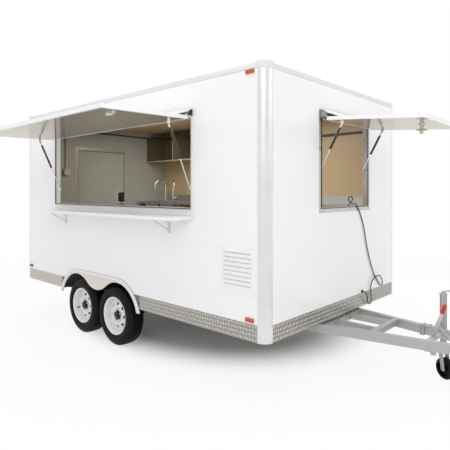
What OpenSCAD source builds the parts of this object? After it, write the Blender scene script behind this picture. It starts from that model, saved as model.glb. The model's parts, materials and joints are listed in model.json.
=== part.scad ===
// Tandem-axle food trailer with a serving awning, a front hatch and a folding counter shelf.
// Millimetres. X points forward along the drawbar, Z up, the serving side faces -Y.
// The origin is the centre of the coupling's ball socket.
// Inside the modules X is measured from the front wall, Y from the centre line and Z from the ground;
// the module placed() moves that frame to the ball.

/* [Body] */
// Length of the body, front wall to rear wall
body_length = 4000; // [3800:10:4200]
// Width of the body over both side walls
body_width = 2400; // [2300:10:2500]
// Height of the skirt's lower edge above the ground
skirt_bottom = 454; // [450:1:470]
// Height of the checker-plate skirt
skirt_height = 135; // [125:1:145]
// Thickness of the skirt's plate
skirt_plate = 3; // [2:0.5:5]
// Height of the roof's top above the ground
roof_top = 2602; // [2590:1:2700]
// Height of the rounded edge rail round the roof
roof_edge = 59; // [50:1:70]
// Rounding of the roof's edge rail
roof_edge_radius = 52; // [30:1:56]
// Thickness of the walls and of the entry door
wall = 50; // [40:1:56]
// Thickness of the floor panel
floor_thickness = 76; // [60:1:78]
// How far each corner post reaches along its walls
post_reach = 84; // [82:1:110]
// Outer rounding of the corner posts
post_radius = 80; // [60:1:82]
// Height of the cast caps on the roof's corners
cap_height = 66; // [60:1:90]

/* [Chassis] */
// Distance of the coupling ball ahead of the front wall
ball_ahead = 1700; // [1680:10:1760]
// Height of the coupling ball above the ground
ball_height = 452; // [445:1:460]
// Height of the top of the drawbar's tubes
beam_top = 433; // [428:1:436]
// Height of the drawbar's tubes
beam_height = 75; // [60:1:80]
// Width of the drawbar's tubes
beam_width = 50; // [40:1:60]
// Half the drawbar's outer width at the front wall
beam_half = 372; // [360:1:390]
// Half angle between the two drawbar beams
beam_angle = 10.7; // [10:0.1:11.5]
// Distance that the beams run back under the body
beam_back = 1150; // [900:10:1250]
// Width of the chassis rails under the floor
rail_width = 40; // [30:1:50]
// How far the chassis's outer rails are set in from the walls
rail_inset = 100; // [90:1:120]

/* [Wheels] */
// Radius of the tyres
tyre_radius = 307.5; // [295:0.5:310]
// Width of the tyres
tyre_width = 185; // [165:1:195]
// Radius of the rim's flange
rim_radius = 195; // [185:1:200]
// Distance of the front axle behind the front wall
front_axle = 1985; // [1950:5:2020]
// Distance between the two axles
axle_spacing = 640; // [632:1:660]
// Distance of the wheels' centre plane in from the side
wheel_inset = 90; // [88:1:96]
// Radius of the circle that the rim's holes lie on
hand_hole_circle = 122; // [116:1:128]
// Number of holes in a rim
hand_holes = 8; // [5:1:10]
// Side of the square axle beams
axle_side = 50; // [40:1:60]

/* [Mudguards] */
// Radius of the mudguard's outer edge
guard_radius = 391; // [385:1:400]
// Width of the mudguard's raised rim
guard_rim = 46; // [35:1:46]
// Distance of each arch's centre from the middle between the axles
arch_offset = 390; // [380:1:400]
// Height of the arches' centres above the ground
arch_height = 320; // [315:1:330]
// Height of the mudguard's lower ends above the ground
guard_bottom = 412; // [400:1:430]
// How far the mudguard stands out from the wall
guard_out = 10; // [8:1:14]

/* [Serving window and awning] */
// Distance of the serving window's front jamb behind the front wall
serving_front = 803; // [780:1:850]
// Width of the serving window
serving_width = 2400; // [2200:10:2450]
// Height of the sill above the ground
sill_height = 1457; // [1450:1:1480]
// Height of the hatches' hinge lines above the ground
hatch_hinge_height = 2260; // [2240:1:2280]
// Distance of the hatches' hinge lines out from the wall
hatch_hinge_out = 52; // [51:1:56]
// Thickness of the awning and of the front hatch
hatch_thickness = 30; // [24:1:30]
// Length of the awning from its hinge to its outer edge
awning_reach = 850; // [835:1:855]
// Angle of the open awning from hanging straight down
awning_open = 89; // [80:0.5:92]

/* [Front window and hatch] */
// Distance of the front window's near jamb from the serving side
front_window_near = 797; // [780:1:820]
// Width of the front window
front_window_width = 908; // [880:1:940]
// Length of the front hatch from its hinge to its outer edge
hatch_reach = 840; // [835:1:850]
// Angle of the open front hatch from hanging straight down
hatch_open = 85.5; // [80:0.5:90]

/* [Counter shelf] */
// Height of the shelf's top above the ground
shelf_top = 1390; // [1380:1:1392]
// Thickness of the shelf
shelf_thickness = 28; // [20:1:32]
// Depth of the shelf from its hinge
shelf_depth = 270; // [240:1:300]
// Distance of the shelf's front end behind the front wall
shelf_front = 795; // [780:1:820]
// Length of the shelf
shelf_length = 2420; // [2300:10:2450]

/* [Jockey wheel] */
// Distance of the jockey wheel's post ahead of the front wall
jockey_ahead = 805; // [780:5:830]
// Radius of the jockey wheel
jockey_radius = 90; // [80:1:95]
// Width of the jockey wheel's tyre
jockey_width = 52; // [44:1:56]
// Outer diameter of the post's outer tube
jockey_tube = 57; // [54:1:60]
// Height of the post's top above the ground
jockey_top = 728; // [700:1:750]
// Direction in which the jockey wheel stands, turned from straight back
jockey_heading = 28; // [0:1:60]

/* [Rear door] */
// Distance of the door frame's serving-side edge from the serving side
door_near = 673; // [640:1:700]
// Width over the door frame
door_frame_width = 880; // [840:10:920]
// Height of the top of the door frame above the ground
door_top = 2245; // [2200:1:2260]

/* [Hidden] */
$fn = 48;
eps = 0.01;

half_width = body_width / 2;
skirt_top = skirt_bottom + skirt_height;
floor_top = skirt_top;
floor_bottom = floor_top - floor_thickness;
roof_bottom = roof_top - roof_edge;
post_top = roof_top - cap_height;
beam_bottom = beam_top - beam_height;
rail_height = floor_bottom - beam_top;

// The two axles, counted from the front
axle_x = [-front_axle, -front_axle - axle_spacing];
axle_mid = -front_axle - axle_spacing / 2;
wheel_y = half_width - wheel_inset;
axle_z = tyre_radius;

window_top = hatch_hinge_height - 12;

// Moves the frame that the modules use to the ball
module placed() { translate([-ball_ahead, 0, -ball_height]) children(); }

// Box from its lowest to its highest corner
module block(low, high) { translate(low) cube(high - low); }

// Both sides, the far one mirrored from the serving side
module both_sides() { children(); mirror([0, 1, 0]) children(); }

// Rod of a given diameter from one point to another in a plane of constant X
module rod_yz(x, a, b, d) {
  dy = b[0] - a[0];
  dz = b[1] - a[1];
  translate([x, a[0], a[1]]) rotate([-atan2(dy, dz), 0, 0]) cylinder(d = d, h = norm([dy, dz]));
}

// Rod of a given diameter from one point to another in a plane of constant Y
module rod_xz(y, a, b, d) {
  dx = b[0] - a[0];
  dz = b[1] - a[1];
  translate([a[0], y, a[1]]) rotate([0, atan2(dx, dz), 0]) cylinder(d = d, h = norm([dx, dz]));
}

// Chassis

// Lengthwise rails: [centre y, front x, rear x]
inner_rail_front = -1200;
// The springs hang under the inner rails
spring_inset = 330;
spring_y = half_width - spring_inset;
chassis_rails = [
  [half_width - rail_inset - rail_width / 2, -rail_inset, -body_length + rail_inset],
  [spring_y, inner_rail_front, -body_length + rail_inset]
];
// Front faces of the cross-members
cross_x = [
  -rail_inset, inner_rail_front + 500, inner_rail_front, axle_mid + 700, axle_mid - 700,
  -body_length + 550, -body_length + rail_inset + rail_width
];
wheel_box_depth = 260;
// Half the length of the gap that the wheel boxes leave in the rails and in the skirt
box_half = arch_offset + guard_radius - 25;

module chassis_frame() placed() color("silver") {
  difference() {
    union() {
      both_sides() for (r = chassis_rails)
        block([r[2], r[0] - rail_width / 2, beam_top], [r[1], r[0] + rail_width / 2, floor_bottom]);
      for (x = cross_x)
        block([x - rail_width, -half_width + rail_inset, beam_top],
              [x, half_width - rail_inset, floor_bottom]);
    }
    both_sides() block([axle_mid - box_half, -half_width, beam_top - 1],
                       [axle_mid + box_half, -half_width + wheel_box_depth + 5, floor_bottom + 1]);
  }
}

// Corner steadies, folded up under the rear cross-member
steady_y = 930;
steady_x = -body_length + rail_inset + rail_width / 2;
steady_fold = 300;
module rear_steadies() placed() color("silver") both_sides() translate([steady_x, -steady_y, beam_top]) {
  block([-25, -32, -5], [25, 32, 0]);
  for (y = [-29, 29]) block([-18, y - 3, -38], [18, y + 3, -4]);
  translate([0, 0, -22]) rotate([90, 0, 0]) cylinder(d = 12, h = 70, center = true);
  difference() {
    union() {
      block([-15, -20, -37], [steady_fold, 20, -7]);
      translate([steady_fold, 0, -22]) rotate([90, 0, 0]) cylinder(d = 60, h = 40, center = true);
    }
    block([20, -16, -40], [steady_fold + 40, 16, -11]);
  }
}

// Beam of the drawbar on the far side, its outer face on the line that meets the front wall
// at beam_half
module drawbar_beam(front) {
  translate([0, beam_half, 0]) rotate([0, 0, -beam_angle])
    translate([-beam_back, -beam_width, beam_bottom]) cube([beam_back + front, beam_width, beam_height]);
}
function beam_outer(x) = beam_half - x * tan(beam_angle);
coupling_length = 200;
beam_front = ball_ahead - coupling_length;
cross_tube = 50;
drawbar_cross = 371;
inner_tube_y = 140;

module drawbar() placed() color("darkgray") {
  both_sides() drawbar_beam(beam_front);
  block([-cross_tube + 15, -beam_half + 20, beam_top - cross_tube], [15, beam_half - 20, beam_top]);
  block([drawbar_cross, -beam_outer(drawbar_cross) + 20, beam_top - cross_tube],
        [drawbar_cross + cross_tube, beam_outer(drawbar_cross + cross_tube) - 20, beam_top]);
  both_sides() block([0, inner_tube_y - 20, beam_top - cross_tube],
                     [drawbar_cross + 1, inner_tube_y + 20, beam_top]);
  // Plate that carries the coupling between the beams' ends
  block([beam_front - 190, -beam_outer(beam_front - 190) + 10, beam_top - 8],
        [beam_front - 20, beam_outer(beam_front - 190) - 10, beam_top]);
  // Bracket under the near beam
  translate([0, -beam_half, 0]) rotate([0, 0, beam_angle]) {
    block([818, 8, beam_bottom - 8], [900, 42, beam_bottom]);
    block([862, 8, beam_bottom - 30], [900, 42, beam_bottom - 7]);
  }
  // Plate that carries the handbrake
  block([780, -beam_outer(780) + 20, beam_top - 30], [840, beam_outer(840) - 20, beam_top - 22]);
}

// Coupling
socket_bore = 51;
socket_wall = 7;
coupling_back = beam_front - 180;

coupling_top = 36;
coupling_round = 14;
socket_radius = socket_bore / 2 + socket_wall;

module coupling() placed() color("gainsboro") translate([ball_ahead, 0, ball_height]) {
  difference() {
    union() {
      // Head, its top edge rounded
      rotate_extrude() {
        translate([0, -14]) square([socket_radius, 14 + coupling_top - coupling_round]);
        square([socket_radius - coupling_round, coupling_top]);
        translate([socket_radius - coupling_round, coupling_top - coupling_round]) circle(r = coupling_round);
      }
      // Neck, half round above and open below
      rotate([0, -90, 0]) cylinder(d = 54, h = coupling_length + 20);
      block([-coupling_length - 20, -27, beam_top - ball_height + 6], [0, 27, 1]);
      // Foot plate with its raised back
      block([coupling_back - ball_ahead, -42, beam_top - ball_height],
          [-coupling_length + 40, 42, beam_top - ball_height + 7]);
      block([coupling_back - ball_ahead + 30, -26, beam_top - ball_height], [-coupling_length + 30, 26, 20]);
    }
    translate([0, 0, -30]) cylinder(d = socket_bore, h = 30);
    sphere(d = socket_bore);
    block([-150, -60, -40], [40, 60, -14]);
  }
  // Latch: a cranked handle that lies back over the neck
  translate([0, 11, 0]) rotate([90, 0, 0]) linear_extrude(22)
    polygon([[-24, 30], [-40, 52], [-70, 60], [-168, 74], [-172, 66], [-74, 50], [-52, 40], [-44, 20],
        [-28, 20]]);
  translate([-168, 11, 69]) rotate([90, 0, 0]) cylinder(d = 14, h = 22);
}

// Handbrake
lever_pivot = [800, 430];
lever_neck = [868, 620];
lever_tip = [888, 680];
lever_y = 20;
lever_bar = [36, 24, 9];
stay_top = [829, 505];
stay_foot = [915, 412];
stay_bar = [22, 18, 6];
grip_diameter = 31;

// Flat bar in a plane of constant Y: from point to point, [width at a, width at b, thickness]
module bar_xz(y, a, b, bar) {
  v = b - a;
  translate([a[0], y + bar[2] / 2, a[1]]) rotate([90, -atan2(v[1], v[0]), 0]) linear_extrude(bar[2]) {
    polygon([[0, -bar[0] / 2 + 0.5], [norm(v), -bar[1] / 2 + 0.5], [norm(v), bar[1] / 2 - 0.5],
        [0, bar[0] / 2 - 0.5]]);
    circle(d = bar[0]);
    translate([norm(v), 0]) circle(d = bar[1]);
  }
}

module handbrake_lever() placed() {
  color("silver") {
    bar_xz(lever_y, lever_pivot, lever_neck, lever_bar);
    translate([lever_pivot[0], lever_y, lever_pivot[1]]) rotate([90, 0, 0])
        cylinder(d = 20, h = 30, center = true);
    block([785, lever_y - 12, beam_top - 22], [930, lever_y + 22, beam_top - 16]);
    bar_xz(lever_y + 7, stay_top, stay_foot, stay_bar);
  }
  color("red") rod_xz(lever_y, lever_neck, lever_tip, grip_diameter);
}

// Jockey wheel
jockey_y = beam_outer(jockey_ahead) + 6 + jockey_tube / 2;
jockey_bore = jockey_tube - 6;
// Distance of the beam's outer face from the post's axis, less a hair
jockey_face = (6 + jockey_tube / 2) * cos(beam_angle) - 0.2;
clamp_back = jockey_face + beam_width + 0.4;
stem_diameter = jockey_bore - 0.1;
jockey_post_bottom = 345;
fork_top = 235;
stem_top = 480;
jockey_trail = 25;
jockey_clamp_z = [366, 420];

module at_jockey() { placed() translate([jockey_ahead, jockey_y, 0]) children(); }

module jockey_post() at_jockey() color("lightgray") {
  difference() {
    union() {
      translate([0, 0, jockey_post_bottom]) cylinder(d = jockey_tube, h = jockey_top - jockey_post_bottom);
      translate([0, 0, jockey_clamp_z[0]])
        cylinder(d = jockey_tube + 8, h = jockey_clamp_z[1] - jockey_clamp_z[0]);
      // Bracket on the beam's outer face
      rotate([0, 0, -beam_angle]) {
        block([-160, -jockey_face, jockey_clamp_z[0] + 4], [40, -jockey_face + 6, jockey_clamp_z[1] - 4]);
        block([-18, -jockey_face + 3, jockey_clamp_z[0] + 8], [18, -10, jockey_clamp_z[1] - 8]);
        // Plate over the beam, and the strap down its inner face
        block([-160, -clamp_back - 6, beam_top], [-25, -jockey_face + 6, beam_top + 6]);
        block([-160, -jockey_face, jockey_clamp_z[1] - 5], [-25, -jockey_face + 6, beam_top + 1]);
        block([-160, -clamp_back - 6, beam_bottom - 8], [-122, -clamp_back, beam_top + 1]);
        for (x = [-156, -126]) block([x - 3, -clamp_back - 14, beam_bottom - 8],
            [x + 3, -clamp_back, beam_top + 1]);
      }
    }
    translate([0, 0, jockey_post_bottom - 1])
      cylinder(d = jockey_bore, h = jockey_top - 8 - jockey_post_bottom + 1);
  }
  // Crank
  translate([0, 0, jockey_top - 1]) cylinder(d = 18, h = 15);
  rotate([0, 0, 60]) {
    block([-9, -9, jockey_top + 10], [110, 9, jockey_top + 18]);
    translate([100, 0, jockey_top + 14]) cylinder(d = 24, h = 60);
  }
}

// Kingpin: it hangs from the stem's foot through the fork's crown, with a washer below
kingpin = 20;
crown = 8;
fork_play = 0.2;
module jockey_stem() at_jockey() color("silver") {
  translate([0, 0, fork_top + fork_play]) cylinder(d = stem_diameter, h = stem_top - fork_top - fork_play);
  translate([0, 0, fork_top - crown - 8]) cylinder(d = kingpin, h = crown + 9);
  translate([0, 0, fork_top - crown - 6]) cylinder(d = kingpin + 12, h = 5.5);
}

module jockey_fork() at_jockey() color("silver") difference() {
  rotate([0, 0, -jockey_heading]) {
    translate([0, 0, fork_top - crown]) cylinder(d = 64, h = crown);
    for (s = [-1, 1]) translate([0, s * (jockey_width / 2 + 6), 0]) rotate([90, 0, 0])
      translate([0, 0, -2.5]) linear_extrude(5) {
        translate([jockey_trail, jockey_radius]) circle(r = 20);
        polygon([[-22, fork_top - 4], [22, fork_top - 4],
                 [jockey_trail + 19, jockey_radius], [jockey_trail - 19, jockey_radius]]);
      }
    block([-22, -jockey_width / 2 - 8.5, fork_top - crown], [22, jockey_width / 2 + 8.5, fork_top]);
    translate([jockey_trail, 0, jockey_radius]) rotate([90, 0, 0])
      cylinder(d = 12, h = jockey_width + 30, center = true);
  }
  translate([0, 0, fork_top - crown - 1]) cylinder(d = kingpin + 0.1, h = crown + 2);
}

module jockey_wheel() at_jockey() color("dimgray") rotate([0, 0, -jockey_heading])
  translate([jockey_trail, 0, jockey_radius]) rotate([90, 0, 0]) rotate_extrude($fn = 64) difference() {
    union() {
      translate([jockey_radius - 26, -jockey_width / 2]) square([14, jockey_width]);
      translate([jockey_radius - 26, -jockey_width / 2 + 12]) square([26, jockey_width - 24]);
      for (s = [-1, 1]) translate([jockey_radius - 12, s * (jockey_width / 2 - 12)]) circle(r = 12);
      translate([6.05, -jockey_width / 2]) square([14, jockey_width]);
      translate([10, -6]) square([jockey_radius - 30, 12]);
    }
  }

// Floor, roof and walls

module floor_panel() placed() color("burlywood") difference() {
  block([-body_length + skirt_plate, -half_width + skirt_plate, floor_bottom],
        [-skirt_plate, half_width - skirt_plate, floor_top]);
  both_sides() for (x = [0, -body_length + post_reach])
    block([x - post_reach, -half_width, floor_bottom - 1], [x, -half_width + post_reach, floor_top + 1]);
  both_sides() translate([0, -half_width + wheel_box_depth + 0.3, 0]) rotate([90, 0, 0])
    linear_extrude(wheel_box_depth + 1) arch_outline(box_wall + 0.3);
}

module roof_panel() placed() color("white")
  block([-body_length + roof_edge, -half_width + roof_edge, roof_bottom],
        [-roof_edge, half_width - roof_edge, roof_top]);

// Outline of the wheel arch opening in the side, seen from the side
box_inner = guard_radius - guard_rim + 3;
box_wall = 4;
module arch_outline(grow) translate([axle_mid, 0]) {
  for (s = [-1, 1]) {
    translate([s * arch_offset, arch_height]) circle(r = box_inner + grow, $fn = 96);
    translate([s * arch_offset - box_inner - grow, arch_height - 200]) square([2 * (box_inner + grow), 200]);
  }
  translate([-arch_offset, arch_height - 200]) square([2 * arch_offset, 200 + box_inner + grow]);
}

module wall_serving_side() placed() color("white") difference() {
  block([-body_length + post_reach, -half_width, skirt_top], [-post_reach, -half_width + wall, roof_bottom]);
  block([-serving_front - serving_width, -half_width - 1, sill_height],
        [-serving_front, -half_width + wall + 1, window_top]);
  translate([0, -half_width + wall + 1, 0]) rotate([90, 0, 0]) linear_extrude(wall + 2)
      arch_outline(box_wall + 0.3);
}

module wall_far_side() placed() color("white") difference() {
  block([-body_length + post_reach, half_width - wall, skirt_top], [-post_reach, half_width, roof_bottom]);
  translate([0, half_width + 1, 0]) rotate([90, 0, 0]) linear_extrude(wall + 2) arch_outline(box_wall + 0.3);
}

module wall_front() placed() color("white") difference() {
  block([-wall, -half_width + post_reach, skirt_top], [0, half_width - post_reach, roof_bottom]);
  block([-wall - 1, -half_width + front_window_near, sill_height],
        [1, -half_width + front_window_near + front_window_width, window_top]);
}

door_side = 40;
module wall_rear() placed() color("white") difference() {
  block([-body_length, -half_width + post_reach, skirt_top],
        [-body_length + wall, half_width - post_reach, roof_bottom]);
  block([-body_length - 1, -half_width + door_near + door_side, skirt_top - 1],
        [-body_length + wall + 1, -half_width + door_near + door_frame_width - door_side,
            door_top - door_side]);
}

// Outline of a corner post, its outer corner at the origin and its legs along +x and +y
module post_outline(depth) difference() {
  square([post_reach, post_reach]);
  difference() {
    square([post_radius, post_radius]);
    translate([post_radius, post_radius]) circle(r = post_radius, $fn = 96);
  }
  translate([depth, depth]) square([post_reach, post_reach]);
}

// The four corners of the body: [x, y, mirror x, mirror y]
corners = [[0, -1, 1, 0], [0, 1, 1, 1], [-1, -1, 0, 0], [-1, 1, 0, 1]];
module at_corners() {
  for (c = corners) translate([c[0] * body_length, c[1] * half_width, 0])
    mirror([c[2], 0, 0]) mirror([0, c[3], 0]) children();
}

module corner_posts() placed() color("lightgray") at_corners()
  translate([0, 0, skirt_bottom]) linear_extrude(post_top - skirt_bottom) post_outline(wall);

// Profile of the roof's edge rail, outer corner rounded
module edge_outline(size) difference() {
  square([size, roof_edge]);
  translate([0, roof_edge - roof_edge_radius]) difference() {
    square([roof_edge_radius, roof_edge_radius]);
    translate([roof_edge_radius, 0]) circle(r = roof_edge_radius, $fn = 96);
  }
}

module roof_edges() placed() color("whitesmoke") {
  both_sides() translate([-body_length + post_reach, -half_width, roof_bottom]) rotate([90, 0, 90])
    linear_extrude(body_length - 2 * post_reach) edge_outline(roof_edge);
  translate([0, half_width - post_reach, roof_bottom]) rotate([90, 0, 0]) mirror([1, 0, 0])
    linear_extrude(body_width - 2 * post_reach) edge_outline(roof_edge);
  translate([-body_length, half_width - post_reach, roof_bottom]) rotate([90, 0, 0])
    linear_extrude(body_width - 2 * post_reach) edge_outline(roof_edge);
  at_corners() {
    translate([0, 0, post_top]) linear_extrude(roof_bottom - post_top) post_outline(wall);
    intersection() {
      translate([0, 0, roof_bottom]) linear_extrude(roof_edge) post_outline(post_reach);
      translate([0, post_reach, roof_bottom]) rotate([90, 0, 0]) linear_extrude(post_reach)
          edge_outline(post_reach);
      translate([0, 0, roof_bottom]) rotate([90, 0, 90]) linear_extrude(post_reach) edge_outline(post_reach);
      difference() {
        translate([0, 0, roof_bottom]) cube([post_reach, post_reach, roof_edge]);
        translate([roof_edge, roof_edge, roof_bottom - 1]) cube([post_reach, post_reach, roof_edge + 2]);
      }
    }
  }
}

module skirt() placed() color("lightgray") {
  for (x = [-skirt_plate, -body_length])
    block([x, -half_width + post_reach, skirt_bottom], [x + skirt_plate, half_width - post_reach, skirt_top]);
  both_sides() difference() {
    block([-body_length + post_reach, -half_width, skirt_bottom],
          [-post_reach, -half_width + skirt_plate, skirt_top]);
    block([axle_mid - box_half, -half_width - 1, skirt_bottom - 1],
          [axle_mid + box_half, -half_width + 10, skirt_top + 1]);
  }
}

// Mudguards

fillet_radius = 305;
guard_top = arch_height + guard_radius;

// Outer edge of the mudguard as seen from the side, open at the bottom
module guard_outer() intersection() {
  union() {
    for (s = [-1, 1]) translate([s * arch_offset, arch_height]) circle(r = guard_radius, $fn = 96);
    translate([-arch_offset, 0]) square([2 * arch_offset, guard_top]);
    translate([-arch_offset - guard_radius, 0]) square([2 * (arch_offset + guard_radius), arch_height]);
  }
  translate([-2000, guard_bottom]) square([4000, 2000]);
}

// Space under the mudguard: two arches joined by a smooth dip
arch_radius = guard_radius - guard_rim;
dip_z = arch_height + sqrt(pow(arch_radius + fillet_radius, 2) - pow(arch_offset, 2));
touch = arch_radius / (arch_radius + fillet_radius);
module guard_inner() {
  for (s = [-1, 1]) translate([s * arch_offset, arch_height]) circle(r = arch_radius, $fn = 96);
  for (s = [-1, 1]) translate([s * arch_offset - arch_radius, 0]) square([2 * arch_radius, arch_height]);
  difference() {
    translate([-arch_offset * (1 - touch), 0])
      square([2 * arch_offset * (1 - touch), arch_height + (dip_z - arch_height) * touch]);
    translate([0, dip_z]) circle(r = fillet_radius, $fn = 96);
  }
  translate([-arch_offset, 0]) square([2 * arch_offset, arch_height]);
}

module mudguards() placed() color("white") both_sides()
  translate([axle_mid, -half_width, 0]) rotate([90, 0, 0]) {
    linear_extrude(guard_out) difference() {
      guard_outer();
      guard_inner();
    }
  }

module wheel_boxes() placed() color("dimgray") both_sides() intersection() {
  block([-body_length, -half_width + skirt_plate, skirt_bottom], [0, 0, roof_top]);
  difference() {
    translate([0, -half_width + wheel_box_depth, 0]) rotate([90, 0, 0])
      linear_extrude(wheel_box_depth) arch_outline(box_wall);
    translate([0, -half_width + wheel_box_depth - box_wall, 0]) rotate([90, 0, 0])
      linear_extrude(wheel_box_depth) arch_outline(0);
  }
}

// Axles and springs

hub_bore = 30;
module axles() placed() color("dimgray") for (x = axle_x) {
  block([x - axle_side / 2, -wheel_y + 130, axle_z - axle_side / 2],
        [x + axle_side / 2, wheel_y - 130, axle_z + axle_side / 2]);
  both_sides() translate([x, -wheel_y + 131, axle_z]) rotate([90, 0, 0]) {
    cylinder(d = 46, h = 40);
    cylinder(d = hub_bore - 0.1, h = 150);
  }
}

spring_half = 290;
leaf = 7;
spring_sag = 45;
spring_arc = (pow(spring_half, 2) + pow(spring_sag, 2)) / (2 * spring_sag);
leaves = [290, 230, 170, 110];
leaf_pack = len(leaves) * leaf;
u_bolt = 32;

module leaf_springs() placed() color("gray") both_sides() {
  for (x = axle_x) translate([x, -spring_y + 25, axle_z + axle_side / 2]) rotate([90, 0, 0])
    linear_extrude(50) {
      for (i = [0:len(leaves) - 1]) intersection() {
        difference() {
          translate([0, spring_arc + 21 - i * leaf]) circle(r = spring_arc, $fn = 200);
          translate([0, spring_arc + 21 - i * leaf]) circle(r = spring_arc - leaf, $fn = 200);
        }
        translate([-leaves[i], -5]) square([2 * leaves[i], 200]);
      }
    }
  // Clamp plates above each spring and below each axle, held by U-bolts
  for (x = axle_x) translate([x, -spring_y, axle_z]) {
    block([-40, -40, axle_side / 2 + leaf_pack], [40, 40, axle_side / 2 + leaf_pack + 8]);
    block([-40, -40, -axle_side / 2 - 8], [40, 40, -axle_side / 2]);
    for (u = [-1, 1]) for (v = [-1, 1]) translate([u * u_bolt, v * u_bolt, -axle_side / 2 - 18])
      cylinder(d = 12, h = axle_side + leaf_pack + 36);
  }
  // Hangers at the ends and the rocker between the springs
  for (x = [axle_x[0] + spring_half, axle_mid, axle_x[1] - spring_half])
    block([x - 30, -spring_y - 20, axle_z + axle_side / 2 + 62], [x + 30, -spring_y + 20, beam_top]);
}

// Wheels

rim_offset = 82;
rim_inner = 168;
rim_bore = 46;
// D-shaped holes: diameter, and how far the flat side lies outside their middle
hand_hole = 38;
hand_hole_flat = 8;
// Rim: outer face towards -z
module rim_solid() {
  rotate_extrude($fn = 96) {
    polygon([[rim_radius, -rim_offset + 0], [rim_radius, -rim_offset + 5], [rim_inner + 14, -rim_offset + 12],
             [rim_inner + 2, -rim_offset + 40], [rim_inner + 2, 10], [rim_inner + 14, rim_offset - 12],
             [rim_radius, rim_offset - 5], [rim_radius, rim_offset], [rim_radius - 6, rim_offset],
             [rim_inner + 8, rim_offset - 10], [rim_inner - 3, 12], [rim_inner - 3, -rim_offset + 38],
             [rim_inner + 8, -rim_offset + 10], [rim_radius - 6, -rim_offset]]);
  }
  difference() {
    rotate_extrude($fn = 96)
      polygon([[rim_bore, -34], [70, -34], [88, -44], [108, -46], [140, -26], [rim_inner + 1, -22],
               [rim_inner + 1, -17], [138, -20], [106, -40], [88, -38], [70, -28], [rim_bore, -28]]);
    for (i = [0:hand_holes - 1]) rotate([0, 0, i * 360 / hand_holes])
      translate([hand_hole_circle, 0, -60]) linear_extrude(60) intersection() {
        circle(d = hand_hole);
        translate([-hand_hole, -hand_hole / 2]) square([hand_hole + hand_hole_flat, hand_hole]);
      }
  }
  // Hub and drum
  difference() {
    union() {
      translate([0, 0, -29]) cylinder(d = 150, h = 32);
      translate([0, 0, -46]) cylinder(r = rim_bore + 0.5, h = 48);
      translate([0, 0, -62]) cylinder(d = 58, h = 60);
      translate([0, 0, 2]) cylinder(d = 254, h = 55);
    }
    translate([0, 0, -50]) cylinder(d = hub_bore, h = 120);
    translate([0, 0, 10]) difference() {
      cylinder(d = 240, h = 60);
      translate([0, 0, -1]) cylinder(d = 70, h = 62);
    }
  }
}

tyre_shoulder = 30;
module tyre_solid() rotate_extrude($fn = 96) difference() {
  union() {
    translate([rim_inner + 14, -tyre_width / 2 + 14])
      square([tyre_radius - rim_inner - 14 - 12, tyre_width - 28]);
    translate([tyre_radius - tyre_shoulder - 20, -tyre_width / 2 + tyre_shoulder + 8])
      square([tyre_shoulder + 20, tyre_width - 2 * tyre_shoulder - 16]);
    for (s = [-1, 1]) {
      translate([tyre_radius - tyre_shoulder, s * (tyre_width / 2 - tyre_shoulder - 8)])
          circle(r = tyre_shoulder);
      translate([rim_radius + 42, s * (tyre_width / 2 - 45)]) circle(r = 45);
    }
  }
  translate([0, -tyre_width]) square([rim_inner + 14.5, 2 * tyre_width]);
  for (s = [-1, 1]) translate([0, s * rim_offset - (s > 0 ? 12.5 : 30)]) square([rim_radius + 0.5, 42.5]);
}

// A wheel's place: [axle number, side], side -1 is the serving side
module at_wheel(axle, side) placed() translate([axle_x[axle], side * wheel_y, axle_z])
  rotate([side < 0 ? -90 : 90, 0, 0]) children();

module rim_front_near() at_wheel(0, -1) color("white") rim_solid();
module rim_rear_near() at_wheel(1, -1) color("white") rim_solid();
module rim_front_far() at_wheel(0, 1) color("white") rim_solid();
module rim_rear_far() at_wheel(1, 1) color("white") rim_solid();
module tyre_front_near() at_wheel(0, -1) color("black") tyre_solid();
module tyre_rear_near() at_wheel(1, -1) color("black") tyre_solid();
module tyre_front_far() at_wheel(0, 1) color("black") tyre_solid();
module tyre_rear_far() at_wheel(1, 1) color("black") tyre_solid();

// Windows and hatches
// Both hatches are drawn in a frame of their own: x along the hinge line, y out from the wall,
// z up, with the hinge line at the origin. serving() and fore() place it.

module serving() placed()
  translate([-serving_front - serving_width / 2, -half_width - hatch_hinge_out, hatch_hinge_height])
  mirror([0, 1, 0]) children();
module fore() placed()
  translate([hatch_hinge_out, -half_width + front_window_near + front_window_width / 2, hatch_hinge_height])
  rotate([0, 0, -90]) children();

flange = 2;
flange_width = 42;
liner = 3;
bead = 5;
hatch_top_gap = 6;
hatch_lap = 8;
flange_over = 62;
frame_top = hatch_hinge_height + flange_over;

// Window frame in the hatch frame: flange on the wall, liner through the wall, hinge rail
module window_frame(width) {
  z0 = sill_height - hatch_hinge_height;
  z1 = window_top - hatch_hinge_height;
  y0 = -hatch_hinge_out;
  difference() {
    union() {
      block([-width / 2 - flange_width, y0, z0 - flange_width],
          [width / 2 + flange_width, y0 + flange, flange_over]);
      block([-width / 2 + 0.3, y0 - wall, z0 + 0.3], [width / 2 - 0.3, y0 + 0.01, z1 - 0.3]);
    }
    block([-width / 2 + liner, y0 - wall - 1, z0 + liner], [width / 2 - liner, y0 + flange + 1, z1 - liner]);
  }
  // Hinge rail with a groove for the hatch's bead
  rotate([90, 0, 90]) translate([0, 0, -width / 2 - hatch_lap]) linear_extrude(width + 2 * hatch_lap)
      difference() {
    polygon([[y0 + flange - 0.01, -2.5], [7, -2.5], [8, 3], [5, 8], [-20, 42], [y0 + flange - 0.01, 55]]);
    circle(r = bead + 0.3, $fn = 64);
  }
}

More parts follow.
